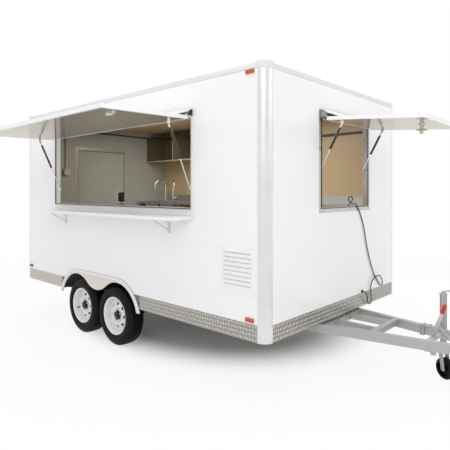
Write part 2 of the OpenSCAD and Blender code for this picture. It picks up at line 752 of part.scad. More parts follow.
// Rain hood over the hinge, in section: [out, up] of its tip and of its foot on the hanging leaf,
// how far its outer face dips between them, and the points of its underside
hood_tip = [62, 40];
hood_foot = [-hatch_top_gap, -195];
hood_dip = 7;
hood_under = [[50, 24], [30, 2], [10, -68], [-hatch_top_gap - 1, -120], [-hatch_top_gap - 1, -195]];
hood_chord = hood_tip - hood_foot;
hood_radius = pow(norm(hood_chord), 2) / (8 * hood_dip) + hood_dip / 2;
hood_middle = (hood_tip + hood_foot) / 2
  + (hood_radius - hood_dip) / norm(hood_chord) * [hood_chord[1], -hood_chord[0]];
module hood() difference() {
  polygon(concat([hood_tip], hood_under, [hood_foot]));
  translate(hood_middle) circle(r = hood_radius, $fn = 360);
}

// Hatch hanging straight down from its hinge line, in the hatch frame
leaf_border = 28;
leaf_recess = 2;
module hatch_leaf(width, reach) {
  w = width + 2 * hatch_lap;
  difference() {
    rotate([90, 0, 90]) translate([0, 0, -w / 2]) linear_extrude(w) {
      circle(r = bead, $fn = 64);
      rotate(-135) translate([0, -1]) square([12, 2]);
      translate([-hatch_top_gap - hatch_thickness, -reach]) square([hatch_thickness, reach - hatch_top_gap]);
      hood();
    }
    block([-w / 2 + leaf_border, -hatch_top_gap - hatch_thickness - 1, -reach + leaf_border],
          [w / 2 - leaf_border, -hatch_top_gap - hatch_thickness + leaf_recess,
              -hatch_top_gap - leaf_border]);
  }
}

// Gas strut, in the hatch frame: the top pin on the hatch, in the hanging position,
// and the eye on the jamb: [distance below the hinge line, distance behind it]
awning_pin = [176, 72];
awning_eye = [-82, -635];
hatch_pin = [127, 56];
hatch_eye = [-79, -437];

module awning() color("white") serving() rotate([awning_open, 0, 0]) {
  hatch_leaf(serving_width, awning_reach);
  hatch_pins(serving_width, awning_pin);
}
module front_hatch() color("white") fore() rotate([hatch_open, 0, 0]) {
  hatch_leaf(front_window_width, hatch_reach);
  hatch_pins(front_window_width, hatch_pin);
}
module serving_window_frame() color("whitesmoke") serving() {
  window_frame(serving_width);
  jamb_pins(serving_width, awning_eye);
}
module front_window_frame() color("lightgray") fore() {
  window_frame(front_window_width);
  jamb_pins(front_window_width, hatch_eye);
}

// Gas struts
// Places along the hinge line, measured from the middle of the window
strut_inset = 50;
cylinder_diameter = 22;
rod_diameter = 10;
pin_diameter = 8;
fitting = 45;

// A hatch's pin when the hatch stands open: [y, z]
function opened(pin, angle) = [
  -pin[1] * cos(angle) + pin[0] * sin(angle),
  -pin[1] * sin(angle) - pin[0] * cos(angle)
];

// Places its children at a strut's pin, with +z towards the eye
module along_strut(x, pin, eye, angle) {
  p = opened(pin, angle);
  translate([x, p[0], p[1]]) rotate([90 + atan2(eye[1] - p[1], eye[0] - p[0]) - 180, 0, 0])
    children();
}

module strut_cylinders(width, pin, eye, angle, length) {
  for (s = [-1, 1]) along_strut(s * (width / 2 - strut_inset), pin, eye, angle) {
    difference() {
      union() {
        translate([0, 0, fitting]) cylinder(d = cylinder_diameter, h = length);
        cylinder(d = 11, h = fitting + 1);
        rotate([0, 90, 0]) cylinder(d = 18, h = 12, center = true);
      }
      translate([0, 0, fitting + 20]) cylinder(d = rod_diameter + 0.1, h = length);
      rotate([0, 90, 0]) cylinder(d = pin_diameter + 0.1, h = 40, center = true);
    }
  }
}

module strut_rods(width, pin, eye, angle, start) {
  span = norm(eye - opened(pin, angle));
  for (s = [-1, 1]) along_strut(s * (width / 2 - strut_inset), pin, eye, angle) difference() {
    union() {
      translate([0, 0, start]) cylinder(d = rod_diameter, h = span - start);
      translate([0, 0, span]) rotate([0, 90, 0]) cylinder(d = 18, h = 12, center = true);
    }
    translate([0, 0, span]) rotate([0, 90, 0]) cylinder(d = pin_diameter + 2, h = 40, center = true);
  }
}

// Pin plates: on a hatch at the struts' heads, and on a window's jambs at their eyes
module hatch_pins(width, pin) {
  for (s = [-1, 1]) translate([s * (width / 2 - strut_inset), 0, 0]) {
    translate([s * 9, 0, 0]) block([-2, -pin[1] - 9, -pin[0] - 12],
        [2, -hatch_top_gap - hatch_thickness + leaf_recess + 1, -pin[0] + 12]);
    translate([0, -pin[1], -pin[0]]) rotate([0, 90, 0]) cylinder(d = pin_diameter, h = 18, center = true);
  }
}
module jamb_pins(width, eye) {
  for (s = [-1, 1]) translate([s * (width / 2 - strut_inset), eye[0], eye[1]]) rotate([0, s * 90, 0]) {
    translate([0, 0, 7]) cylinder(d = pin_diameter + 2, h = strut_inset - 9);
    translate([0, 0, strut_inset - 8]) cylinder(d = 28, h = 6);
  }
}

module awning_cylinders() color("black") serving()
  strut_cylinders(serving_width, awning_pin, awning_eye, awning_open, 285);
module awning_rods() color("silver") serving()
  strut_rods(serving_width, awning_pin, awning_eye, awning_open, 305);
module hatch_cylinders() color("black") fore()
  strut_cylinders(front_window_width, hatch_pin, hatch_eye, hatch_open, 205);
module hatch_rods() color("silver") fore()
  strut_rods(front_window_width, hatch_pin, hatch_eye, hatch_open, 225);

// Counter shelf
// Frame of the shelf: x along it, y out from the wall, z up, on its hinge line
shelf_out = 22;
shelf_drop = 8;
shelf_hinge_z = shelf_top - shelf_thickness - shelf_drop;
bracket_x = [-967, 901];
shelf_pin = [150, -9];
shelf_foot = [-14, -100];
module at_shelf() placed()
  translate([-shelf_front - shelf_length / 2, -half_width - shelf_out, shelf_hinge_z])
  mirror([0, 1, 0]) children();

module counter_shelf() color("white") at_shelf() {
  block([-shelf_length / 2, -shelf_out + 8, shelf_drop],
      [shelf_length / 2, shelf_depth - shelf_out, shelf_drop + shelf_thickness]);
  for (x = bracket_x) {
    block([x - 12, 3, shelf_drop - 3], [x + 12, shelf_depth - 40, shelf_drop + 0.01]);
    for (s = [-1, 1]) block([x + s * 9 - 2, shelf_pin[0] - 9, shelf_pin[1] - 4],
        [x + s * 9 + 2, shelf_pin[0] + 9, shelf_drop]);
    translate([x, shelf_pin[0], shelf_pin[1]]) rotate([0, 90, 0]) cylinder(d = 6, h = 20, center = true);
    translate([x - 14, 0, 0]) rotate([0, -90, 0]) cylinder(d = 8, h = 46);
    block([x - 40, -4, 0], [x - 14, 4, shelf_drop + 0.01]);
  }
}
module shelf_struts() color("tan") at_shelf() for (x = bracket_x) {
  v = shelf_foot - shelf_pin;
  translate([x, shelf_pin[0], shelf_pin[1]]) rotate([atan2(v[1], v[0]), 0, 0]) difference() {
    union() {
      block([-6, 0, -3], [6, norm(v) - 4, 3]);
      rotate([0, 90, 0]) cylinder(d = 12, h = 12, center = true);
    }
    rotate([0, 90, 0]) cylinder(d = 6.1, h = 30, center = true);
  }
}
module shelf_plates() color("tan") at_shelf() for (x = bracket_x) {
  block([x - 20, -shelf_out, -130], [x + 20, -shelf_out + 3, 0]);
  difference() {
    union() {
      translate([x - 41, 0, 0]) rotate([0, -90, 0]) cylinder(d = 14, h = 20);
      block([x - 61, -shelf_out, -7], [x - 41, 0, 7]);
      block([x - 61, -shelf_out, -30], [x + 20, -shelf_out + 3, 7]);
    }
    translate([x, 0, 0]) rotate([0, -90, 0]) cylinder(d = 8.1, h = 200);
  }
}

// Vent louvre
vent_x = [-463, -105];
vent_z = [800, 1173];
vent_slot = [-428, -141];
vent_first = 881;
vent_pitch = 36;
module vent_louvre() placed() color("white") translate([0, -half_width, 0]) {
  block([vent_x[0], -3, vent_z[0]], [vent_x[1], 0, vent_z[1]]);
  for (i = [0:7]) translate([vent_slot[0], -3, vent_first + i * vent_pitch]) rotate([0, 90, 0])
    intersection() {
      cylinder(r = 11, h = vent_slot[1] - vent_slot[0]);
      translate([-11, -11, 0]) cube([22, 11.01, 400]);
    }
}

// Lamps: [x, z, y] of their centres on the serving side
lamp = [80, 12, 30];
amber_lamps = [[-155, 618], [-152, 2524]];
side_red_lamp = [-body_length + 130, 628];
// Lamp cluster on the rear wall: [distance from the side, height, thickness], and its half height
rear_lamp = [200, 522, 22];
rear_lamp_half = [80, 45];
module marker_lamps() placed() color("orangered") both_sides() for (p = amber_lamps)
  translate([p[0], -half_width, p[1]]) block([-lamp[0] / 2, -lamp[1], -lamp[2] / 2],
      [lamp[0] / 2, 0, lamp[2] / 2]);
module tail_lamps() placed() color("red") {
  both_sides() translate([side_red_lamp[0], -half_width, side_red_lamp[1]])
    block([-lamp[0] / 2, -lamp[1], -lamp[2] / 2], [lamp[0] / 2, 0, lamp[2] / 2]);
  both_sides() translate([-body_length, -half_width + rear_lamp[0], rear_lamp[1]])
    block([-rear_lamp[2], -rear_lamp_half[0], -rear_lamp_half[1]], [0, rear_lamp_half[0], rear_lamp_half[1]]);
}

// Rear door, hinged at its serving-side edge and opening outward
door_gap = 8;
door_liner = 4;
door_low_z = floor_top + 8;
door_y0 = -half_width + door_near + door_side + door_liner + door_gap;
door_y1 = -half_width + door_near + door_frame_width - door_side - door_liner - door_gap;
door_pin = [-body_length - 12, door_y0 - 18];
door_hinges = [760, 1390, 2060];
door_knuckle = 60;

module door_frame() placed() color("gainsboro") {
  difference() {
    union() {
      for (x = [-body_length - 2, -body_length + wall])
        block([x, -half_width + door_near, floor_top],
            [x + 2, -half_width + door_near + door_frame_width, door_top]);
      block([-body_length - 1, -half_width + door_near + door_side + 0.3, floor_top],
            [-body_length + wall + 1, -half_width + door_near + door_frame_width - door_side - 0.3,
                door_top - door_side - 0.3]);
    }
    block([-body_length - 3, -half_width + door_near + door_side + door_liner, floor_top - 1],
          [-body_length + wall + 3, -half_width + door_near + door_frame_width - door_side - door_liner,
           door_top - door_side - door_liner]);
  }
  for (z = door_hinges) translate([door_pin[0], door_pin[1], z]) {
    translate([0, 0, -20]) cylinder(d = 8, h = door_knuckle + 40);
    for (k = [-20, door_knuckle + 1]) {
      translate([0, 0, k]) cylinder(d = 18, h = 19);
      block([-3, -30, k], [10.5, 0, k + 19]);
    }
  }
}

module entry_door() placed() color("white") {
  block([-body_length - 2, door_y0, door_low_z],
        [-body_length + wall - 2, door_y1, door_top - door_side - door_liner - door_gap]);
  // Lock on the inside and handle on the outside
  block([-body_length + wall - 2.01, door_y1 - 128, 1416], [-body_length + wall + 26, door_y1 - 8, 1590]);
  block([-body_length - 26, door_y1 - 75, 1470], [-body_length - 1.99, door_y1 - 40, 1580]);
  for (z = door_hinges) difference() {
    union() {
      // The hinge's strap stands clear of the frame and lies on the door
      block([-body_length - 12, door_pin[1], z], [-body_length - 3, door_y0 + 60, z + door_knuckle]);
      block([-body_length - 4, door_y0 + 1, z], [-body_length - 1.99, door_y0 + 60, z + door_knuckle]);
      translate([door_pin[0], door_pin[1], z]) cylinder(d = 18, h = door_knuckle);
    }
    translate([door_pin[0], door_pin[1], z - 1]) cylinder(d = 8.1, h = door_knuckle + 2);
  }
}

// Interior
bench_top = 1445;
bench_depth = 600;
bench_x = [-body_length + wall, -wall];
bowls = [-body_length + 380, -body_length + 740];
bowl = [300, 240, 160];
bowl_in = 50;
bowl_sheet = 2;
bowl_lip = 12;
bench_y = half_width - wall - bench_depth;
bench_sheet = 3;
bench_edge = 40;
bench_back = half_width - wall - 0.5;
bench_leg = 38;
bench_leg_in = 12;
bench_bays = 4;
bench_leg_first = bench_x[0] + 40;
bench_leg_pitch = (bench_x[1] - 40 - bench_leg_first) / bench_bays;
bench_shelf_z = 760;

// Sheet with its edges folded down: from [x, y] to [x, y], with its top at a given height
module tray(low, high, top) difference() {
  block([low[0], low[1], top - bench_edge], [high[0], high[1], top]);
  block([low[0] + bench_sheet, low[1] + bench_sheet, top - bench_edge - 1],
        [high[0] - bench_sheet, high[1] - bench_sheet, top - bench_sheet]);
}

module kitchen_bench() placed() color("silver") difference() {
  union() {
    tray([bench_x[0] + 1, bench_y], [bench_x[1] - 1, bench_back], bench_top);
    // Splashback
    block([bench_x[0] + 1, bench_back - bench_sheet, bench_top - 1],
        [bench_x[1] - 1, bench_back, bench_top + 100]);
  }
  for (x = bowls) block([x - bowl[0] / 2 - bowl_sheet, bench_y + bowl_in - bowl_sheet, bench_top - bowl[2]],
                        [x + bowl[0] / 2 + bowl_sheet, bench_y + bowl_in + bowl[1] + bowl_sheet,
                            bench_top + 1]);
}

// Bowls let into the bench, each with a flat lip on its top
module sink_bowls() placed() color("silver") for (x = bowls) difference() {
  union() {
    block([x - bowl[0] / 2 - bowl_sheet + 0.1, bench_y + bowl_in - bowl_sheet + 0.1,
        bench_top - bowl[2] - bowl_sheet],
          [x + bowl[0] / 2 + bowl_sheet - 0.1, bench_y + bowl_in + bowl[1] + bowl_sheet - 0.1,
              bench_top + 1]);
    block([x - bowl[0] / 2 - bowl_lip, bench_y + bowl_in - bowl_lip, bench_top],
          [x + bowl[0] / 2 + bowl_lip, bench_y + bowl_in + bowl[1] + bowl_lip, bench_top + 1.5]);
  }
  block([x - bowl[0] / 2, bench_y + bowl_in, bench_top - bowl[2]],
        [x + bowl[0] / 2, bench_y + bowl_in + bowl[1], bench_top + 2]);
  translate([x, bench_y + bowl_in + bowl[1] / 2, bench_top - bowl[2] - bowl_sheet - 1])
      cylinder(d = 45, h = 10);
}

module bench_legs() placed() color("silver") {
  for (i = [0:bench_bays])
      translate([bench_leg_first + i * bench_leg_pitch, bench_y + bench_leg_in, floor_top])
    translate([-bench_leg / 2, 0, 0]) cube([bench_leg, bench_leg, bench_top - bench_sheet - floor_top]);
  for (i = [0, bench_bays])
      translate([bench_leg_first + i * bench_leg_pitch, bench_back - bench_leg - 62, floor_top])
    translate([-bench_leg / 2, 0, 0]) cube([bench_leg, bench_leg, bench_top - bench_sheet - floor_top]);
}

module bench_shelf() placed() color("silver")
  tray([bench_x[0] + 10, bench_y + bench_leg_in + bench_leg], [bench_x[1] - 10, bench_back - bench_leg - 62],
       bench_shelf_z);

tap_x = [bowls[0], bowls[0] + 180];
tap_y = half_width - 320;
tap_rise = 240;
tap_reach = 90;
tap_turn = [-20, 55];
module taps() placed() color("silver") for (i = [0, 1])
  translate([tap_x[i], tap_y, bench_top + 0.3]) rotate([0, 0, tap_turn[i]]) {
    cylinder(d = 50, h = 12);
    cylinder(d = 24, h = tap_rise);
    difference() {
      translate([0, -tap_reach, tap_rise]) rotate([90, 0, 90]) rotate_extrude()
          translate([tap_reach, 0]) circle(d = 20);
      block([-20, -3 * tap_reach, tap_rise - 2 * tap_reach], [20, tap_reach, tap_rise - 2]);
    }
    translate([0, -2 * tap_reach, tap_rise - 60]) cylinder(d = 23, h = 60);
    translate([0, 0, 60]) rotate([0, 90, 0]) cylinder(d = 14, h = 60);
  }

cabinet_length = 1960;
cabinet_z = [2085, 2480];
cabinet_depth = 400;
cabinet_sheet = 3;
cabinet_side = 5;
cabinet_bays = 3;
bay_pitch = (cabinet_length - cabinet_side) / cabinet_bays;
module overhead_cabinet() placed() color("silver")
  translate([-body_length + wall, half_width - wall, 0]) difference() {
  block([0.5, -cabinet_depth, cabinet_z[0]], [cabinet_length, -0.5, cabinet_z[1]]);
  for (i = [0:cabinet_bays - 1]) translate([cabinet_side + i * bay_pitch, 0, 0])
    block([0, -cabinet_depth - 1, cabinet_z[0] + cabinet_sheet],
          [bay_pitch - cabinet_side, -cabinet_sheet - 1, cabinet_z[1] - cabinet_sheet]);
}

// Switch box on the rear wall, its conduit up to the roof: [half width, depth], from z to z
switch_y = 520;
switch_size = [42, 50];
switch_z = [1832, 1918];
conduit = 24;
module switch_box() placed() color("beige") translate([-body_length + wall, -half_width + switch_y, 0]) {
  block([0, -switch_size[0], switch_z[0]], [switch_size[1], switch_size[0], switch_z[1]]);
  translate([conduit / 2 + 2, 0, switch_z[1] - 1])
    cylinder(d = conduit, h = roof_bottom - switch_z[1] + 0.5);
}

// Lead

lead_diameter = 10;
gland_y = 377;
gland_z = 592;
module cord_gland() placed() color("black") translate([0, gland_y, gland_z + 12]) rotate([0, 90, 0]) {
  cylinder(d = 30, h = 4);
  cylinder(d = 22, h = 12);
}

// Route of the lead: [x, y, z] in front of the wall, over the sill and down inside
lead_points = [
  [12, 377, 604], [30, 380, 600], [42, 395, 570], [34, 430, 515], [24, 470, 472], [20, 512, 456],
  [20, 545, 478], [18, 552, 520], [16, 543, 590], [16, 560, 660], [24, 610, 706], [32, 672, 722],
  [30, 740, 712], [24, 800, 670], [20, 822, 625], [16, 805, 603], [12, 760, 625], [10, 700, 680],
  [10, 640, 740], [10, 575, 835], [10, 493, 990], [10, 443, 1120], [10, 415, 1210],
  [9, 370, 1310], [9, 310, 1400], [9, 262, 1458], [2, 237, 1480], [-14, 204, 1488],
  [-26, 170, 1502], [-32, 157, 1524], [-36, 180, 1547], [-40, 222, 1555], [-46, 264, 1543],
  [-52, 278, 1518], [-60, 259, 1492], [-72, 232, 1468], [-84, 212, 1400],
  [-84, 203, 1280], [-84, 200, 1100], [-84, 200, 950], [-84, 200, 820], [-84, 200, 700]
];

function catmull(a, b, c, d, t) = 0.5 * (2 * b + (c - a) * t + (2 * a - 5 * b + 4 * c - d) * t * t
  + (3 * b - a - 3 * c + d) * t * t * t);
function smooth(p, n) = [
  for (i = [0:len(p) - 2]) for (j = [0:n - 1])
    catmull(p[max(i - 1, 0)], p[i], p[i + 1], p[min(i + 2, len(p) - 1)], j / n),
  p[len(p) - 1]
];
function unit(v) = v / norm(v);
function tangent(p, i) = unit(p[min(i + 1, len(p) - 1)] - p[max(i - 1, 0)]);
// Sideways directions carried along the route without twist
function frames(p, i = 0, u = [0, 1, 0], out = []) = i == len(p) ? out :
  let (t = tangent(p, i), v = unit(u - (u * t) * t)) frames(p, i + 1, v, concat(out, [[v, cross(t, v)]]));

module tube(points, diameter, sides) {
  f = frames(points);
  n = len(points);
  verts = [for (i = [0:n - 1]) for (k = [0:sides - 1])
    points[i] + diameter / 2 * (cos(360 * k / sides) * f[i][0] + sin(360 * k / sides) * f[i][1])];
  faces = concat(
    [[for (k = [sides - 1:-1:0]) k]],
    [for (i = [0:n - 2]) for (k = [0:sides - 1]) each [
      [i * sides + k, i * sides + (k + 1) % sides, (i + 1) * sides + (k + 1) % sides],
      [i * sides + k, (i + 1) * sides + (k + 1) % sides, (i + 1) * sides + k]]],
    [[for (k = [0:sides - 1]) (n - 1) * sides + k]]);
  polyhedron(verts, faces);
}

module lead() placed() color("black") tube(smooth(lead_points, 2), lead_diameter, 8);

// Plug at the lead's hanging end
lead_end = lead_points[len(lead_points) - 1];
module lead_plug() placed() color("black") translate([lead_end[0], lead_end[1], lead_end[2] - 0.3])
  rotate([180, 0, 0]) {
    cylinder(d = 20, h = 26);
    translate([0, 0, 25]) cylinder(d = 34, h = 30);
    translate([0, 0, 54]) cylinder(d = 50, h = 26);
  }

chassis_frame();
rear_steadies();
drawbar();
coupling();
handbrake_lever();
jockey_post();
jockey_stem();
jockey_fork();
jockey_wheel();
floor_panel();
roof_panel();
wall_serving_side();
wall_far_side();
wall_front();
wall_rear();
corner_posts();
roof_edges();
skirt();
mudguards();
wheel_boxes();
axles();
leaf_springs();
rim_front_near();
rim_rear_near();
rim_front_far();
rim_rear_far();
tyre_front_near();
tyre_rear_near();
tyre_front_far();
tyre_rear_far();
serving_window_frame();
front_window_frame();
awning();
awning_cylinders();
awning_rods();
front_hatch();
hatch_cylinders();
hatch_rods();
counter_shelf();
shelf_struts();
shelf_plates();
vent_louvre();
marker_lamps();
tail_lamps();
entry_door();
door_frame();
kitchen_bench();
sink_bowls();
bench_legs();
bench_shelf();
taps();
overhead_cabinet();
switch_box();
cord_gland();
lead();
lead_plug();
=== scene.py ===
import json
import math
import bmesh
import bpy
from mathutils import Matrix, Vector


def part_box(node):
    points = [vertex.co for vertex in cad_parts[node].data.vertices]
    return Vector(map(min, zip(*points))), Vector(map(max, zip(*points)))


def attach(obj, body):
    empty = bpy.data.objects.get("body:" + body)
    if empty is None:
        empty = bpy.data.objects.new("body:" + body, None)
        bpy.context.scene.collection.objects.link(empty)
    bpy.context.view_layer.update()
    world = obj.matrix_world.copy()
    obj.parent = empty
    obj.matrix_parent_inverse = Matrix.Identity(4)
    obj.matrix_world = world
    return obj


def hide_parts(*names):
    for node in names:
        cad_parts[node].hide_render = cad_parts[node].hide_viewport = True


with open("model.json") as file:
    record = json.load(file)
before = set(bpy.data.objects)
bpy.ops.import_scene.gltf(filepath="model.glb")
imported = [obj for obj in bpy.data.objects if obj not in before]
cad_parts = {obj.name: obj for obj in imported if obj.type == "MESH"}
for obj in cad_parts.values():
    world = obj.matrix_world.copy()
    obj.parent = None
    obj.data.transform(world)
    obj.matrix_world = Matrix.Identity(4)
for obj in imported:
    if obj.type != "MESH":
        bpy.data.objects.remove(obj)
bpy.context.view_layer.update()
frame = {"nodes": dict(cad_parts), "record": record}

nodes = frame["nodes"]

# The ball's centre, measured from the foot of the front wall on the ground
BALL = Vector((1.7, 0.0, 0.452))
BODY_LENGTH = 4.0
HALF_WIDTH = 1.2


def place(x, y, z):
    """A point measured from the front wall, the centre line and the ground, in the row frame."""
    return Vector((x, y, z)) - BALL


def add_object(name, data):
    thing = bpy.data.objects.new(name, data)
    bpy.context.scene.collection.objects.link(thing)
    return thing


# Camera at the photograph's viewing angle

CAMERA_AT = place(2.047, -3.8937, 1.6108)
CAMERA_TURN = 42.423
CAMERA_LENS = 36.215
CAMERA_SHIFT = -0.0763


def add_camera():
    data = bpy.data.cameras.new("camera")
    data.sensor_width = 36
    data.lens = CAMERA_LENS
    data.shift_y = CAMERA_SHIFT
    camera = add_object("camera", data)
    camera.location = CAMERA_AT
    camera.rotation_euler = (math.radians(90), 0, math.radians(CAMERA_TURN))
    bpy.context.scene.camera = camera


# Materials

def shader(name):
    material = bpy.data.materials.new(name)
    material.use_nodes = True
    tree = material.node_tree
    return material, tree, tree.nodes["Principled BSDF"]


def coords(tree, kind="Object"):
    return tree.nodes.new("ShaderNodeTexCoord").outputs[kind]


def noise(tree, scale, stretch=(1, 1, 1)):
    """Noise over the object's own coordinates, in metres."""
    mapping = tree.nodes.new("ShaderNodeMapping")
    mapping.inputs["Scale"].default_value = stretch
    tree.links.new(coords(tree), mapping.inputs["Vector"])
    texture = tree.nodes.new("ShaderNodeTexNoise")
    texture.inputs["Scale"].default_value = scale
    texture.inputs["Detail"].default_value = 3.0
    tree.links.new(mapping.outputs["Vector"], texture.inputs["Vector"])
    return texture.outputs["Fac"]


def ramp(tree, value, low, high, start=0.3, end=0.7):
    node = tree.nodes.new("ShaderNodeValToRGB")
    node.color_ramp.elements[0].position = start
    node.color_ramp.elements[0].color = (*low, 1)
    node.color_ramp.elements[1].position = end
    node.color_ramp.elements[1].color = (*high, 1)
    tree.links.new(value, node.inputs["Fac"])
    return node.outputs["Color"]


def spread(tree, value, low, high):
    node = tree.nodes.new("ShaderNodeMapRange")
    node.inputs["To Min"].default_value = low
    node.inputs["To Max"].default_value = high
    tree.links.new(value, node.inputs["Value"])
    return node.outputs["Result"]


def tint(tree, bsdf, colour):
    tree.links.new(colour, bsdf.inputs["Base Color"])


def roughen(tree, bsdf, value, low, high):
    tree.links.new(spread(tree, value, low, high), bsdf.inputs["Roughness"])


def eased(tree, value, start, end):
    """0 up to start, 1 from end on, and a smooth step between them."""
    node = tree.nodes.new("ShaderNodeMapRange")
    node.interpolation_type = "SMOOTHSTEP"
    node.inputs["From Min"].default_value = start
    node.inputs["From Max"].default_value = end
    tree.links.new(value, node.inputs["Value"])
    return node.outputs["Result"]


def maths(tree, operation, a, b=0.0):
    """Result of an operation on two values, each a socket or a number."""
    node = tree.nodes.new("ShaderNodeMath")
    node.operation = operation
    for value, socket in ((a, node.inputs[0]), (b, node.inputs[1])):
        if isinstance(value, (int, float)):
            socket.default_value = value
        else:
            tree.links.new(value, socket)
    return node.outputs["Value"]


def parts(tree, kind="Object"):
    """x, y and z of the object's coordinates or of its normal."""
    split = tree.nodes.new("ShaderNodeSeparateXYZ")
    tree.links.new(coords(tree, kind), split.inputs["Vector"])
    return split.outputs["X"], split.outputs["Y"], split.outputs["Z"]


def mixed(tree, share, a, b):
    """Colour a turned into colour b by a share. Each colour is a socket or a triple."""
    node = tree.nodes.new("ShaderNodeMix")
    node.data_type = "RGBA"
    tree.links.new(share, node.inputs["Factor"])
    for value, socket in ((a, node.inputs[6]), (b, node.inputs[7])):
        if isinstance(value, tuple):
            socket.default_value = (*value, 1)
        else:
            tree.links.new(value, socket)
    return node.outputs[2]


def painted(name, colour, vary, rough, scale, metal=0.0, coat=0.0, stretch=(1, 1, 1)):
    """Surface of one colour that varies a little, with a roughness that varies too."""
    material, tree, bsdf = shader(name)
    value = noise(tree, scale, stretch=stretch)
    low = [max(c * (1 - vary), 0) for c in colour]
    high = [min(c * (1 + vary), 1) for c in colour]
    tint(tree, bsdf, ramp(tree, value, low, high))
    fine = noise(tree, scale * 9, stretch=stretch)
    roughen(tree, bsdf, fine, *rough)
    bsdf.inputs["Metallic"].default_value = metal
    bsdf.inputs["Coat Weight"].default_value = coat
    return material


def galvanised():
    """Zinc-coated steel with its pale and dark crystals, and painted shade that darkens the faces turned
    along x.
    """
    material, tree, bsdf = shader("galvanised")
    cells = tree.nodes.new("ShaderNodeTexVoronoi")
    cells.inputs["Scale"].default_value = 300
    tree.links.new(coords(tree), cells.inputs["Vector"])
    paint = ramp(tree, cells.outputs["Color"], (0.44, 0.445, 0.43), (0.52, 0.525, 0.51), 0.1, 0.9)
    # Painted shade: faces turned along x are mixed towards dark grey, by up to 0.6
    across = maths(tree, "MULTIPLY", maths(tree, "ABSOLUTE", parts(tree, "Normal")[0]), 0.6)
    tint(tree, bsdf, mixed(tree, across, paint, (0.27, 0.28, 0.28)))
    roughen(tree, bsdf, cells.outputs["Color"], 0.36, 0.5)
    bsdf.inputs["Metallic"].default_value = 0.25
    return material


def lens(name, colour):
    material, tree, bsdf = shader(name)
    value = noise(tree, 60)
    tint(tree, bsdf, ramp(tree, value, [c * 0.8 for c in colour], colour))
    roughen(tree, bsdf, value, 0.15, 0.25)
    bsdf.inputs["Coat Weight"].default_value = 0.2
    return material


def roof_rail():
    """White rail with painted shade that greys it where it turns upwards."""
    material, tree, bsdf = shader("edge_rail")
    up = parts(tree, "Normal")[2]
    paint = ramp(tree, noise(tree, 4), (0.78, 0.79, 0.8), (0.8, 0.81, 0.82))
    # Painted shade: the share by which the upward faces are greyed
    share = spread(tree, maths(tree, "SMOOTH_MAX", up, 0.0), 0.0, 1.0)
    tint(tree, bsdf, mixed(tree, share, paint, (0.5, 0.51, 0.52)))
    roughen(tree, bsdf, noise(tree, 36), 0.25, 0.34)
    return material


# The hubs in the row frame: the middle between the axles, half the axles' spacing, and the height
HUBS_MIDDLE = -4.005
HUBS_HALF = 0.32
HUBS_HEIGHT = -0.1445
# A rim is dark nearer to the centre line than this, out to its holes' radius: the drum's dark paint together
# with painted shade. Within its middle disc's radius the limit lies a step further out.
RIM_DEEP = 1.1275
RIM_DISC = 0.0765
RIM_STEP = 0.013
RIM_HOLES = 0.1745


def rim_paint():
    """White paint, near black in the depth behind the disc's holes: the drum's dark paint together with
    painted shade.
    """
    material, tree, bsdf = shader("rim_white")
    x, y, z = parts(tree)
    dx = maths(tree, "SUBTRACT", maths(tree, "ABSOLUTE", maths(tree, "SUBTRACT", x, HUBS_MIDDLE)), HUBS_HALF)
    dz = maths(tree, "SUBTRACT", z, HUBS_HEIGHT)
    r2 = maths(tree, "ADD", maths(tree, "MULTIPLY", dx, dx), maths(tree, "MULTIPLY", dz, dz))
    disc = maths(tree, "MULTIPLY", maths(tree, "LESS_THAN", r2, RIM_DISC ** 2), RIM_STEP)
    deep = maths(tree, "LESS_THAN", maths(tree, "ABSOLUTE", y), maths(tree, "ADD", disc, RIM_DEEP))
    # Near black here: the drum's dark paint together with painted shade, which also covers the barrel's
    # inside
    dark = maths(tree, "MULTIPLY", deep, maths(tree, "LESS_THAN", r2, RIM_HOLES ** 2))
    paint = ramp(tree, noise(tree, 12), (0.81, 0.81, 0.81), (0.84, 0.84, 0.84))
    tint(tree, bsdf, mixed(tree, dark, paint, (0.008, 0.008, 0.009)))
    roughen(tree, bsdf, noise(tree, 108), 0.25, 0.35)
    bsdf.inputs["Coat Weight"].default_value = 0.1
    return material


def rubber():
    """Nearly black tyre rubber with a fine grain."""
    material, tree, bsdf = shader("tyre")
    tint(tree, bsdf, ramp(tree, noise(tree, 30), (0.003, 0.003, 0.0035), (0.006, 0.006, 0.0065)))
    fine = noise(tree, 270)
    roughen(tree, bsdf, fine, 0.45, 0.6)
    bsdf.inputs["Specular IOR Level"].default_value = 0.14
    bump = tree.nodes.new("ShaderNodeBump")
    bump.inputs["Distance"].default_value = 0.0003
    tree.links.new(fine, bump.inputs["Height"])
    tree.links.new(bump.outputs["Normal"], bsdf.inputs["Normal"])
    return material


# Painted shade: the skirt darkens from this x of the row frame on, by this share a metre, with a share of
# noise
DARKER_FROM = -4.6
DARKER_RATE = 0.7
DARKER_NOISE = 0.1


def skirt_plate():
    """Bare aluminium with painted shade that makes it darker towards the front."""
    material, tree, bsdf = shader("checker_plate")
    along = maths(tree, "MULTIPLY", maths(tree, "SUBTRACT", parts(tree)[0], DARKER_FROM), DARKER_RATE)
    vary = maths(tree, "ADD", along, maths(tree, "MULTIPLY", noise(tree, 9), DARKER_NOISE))
    tint(tree, bsdf, ramp(tree, vary, (0.5, 0.47, 0.42), (0.34, 0.325, 0.295), 0.05, 0.95))
    roughen(tree, bsdf, noise(tree, 60), 0.3, 0.4)
    bsdf.inputs["Metallic"].default_value = 0.7
    return material


def post_metal():
    """Satin aluminium of the round corner posts."""
    material, tree, bsdf = shader("post_metal")
    tint(tree, bsdf, ramp(tree, noise(tree, 5), (0.7, 0.715, 0.73), (0.75, 0.76, 0.77)))
    roughen(tree, bsdf, noise(tree, 40), 0.28, 0.36)
    bsdf.inputs["Metallic"].default_value = 0.6
    return material


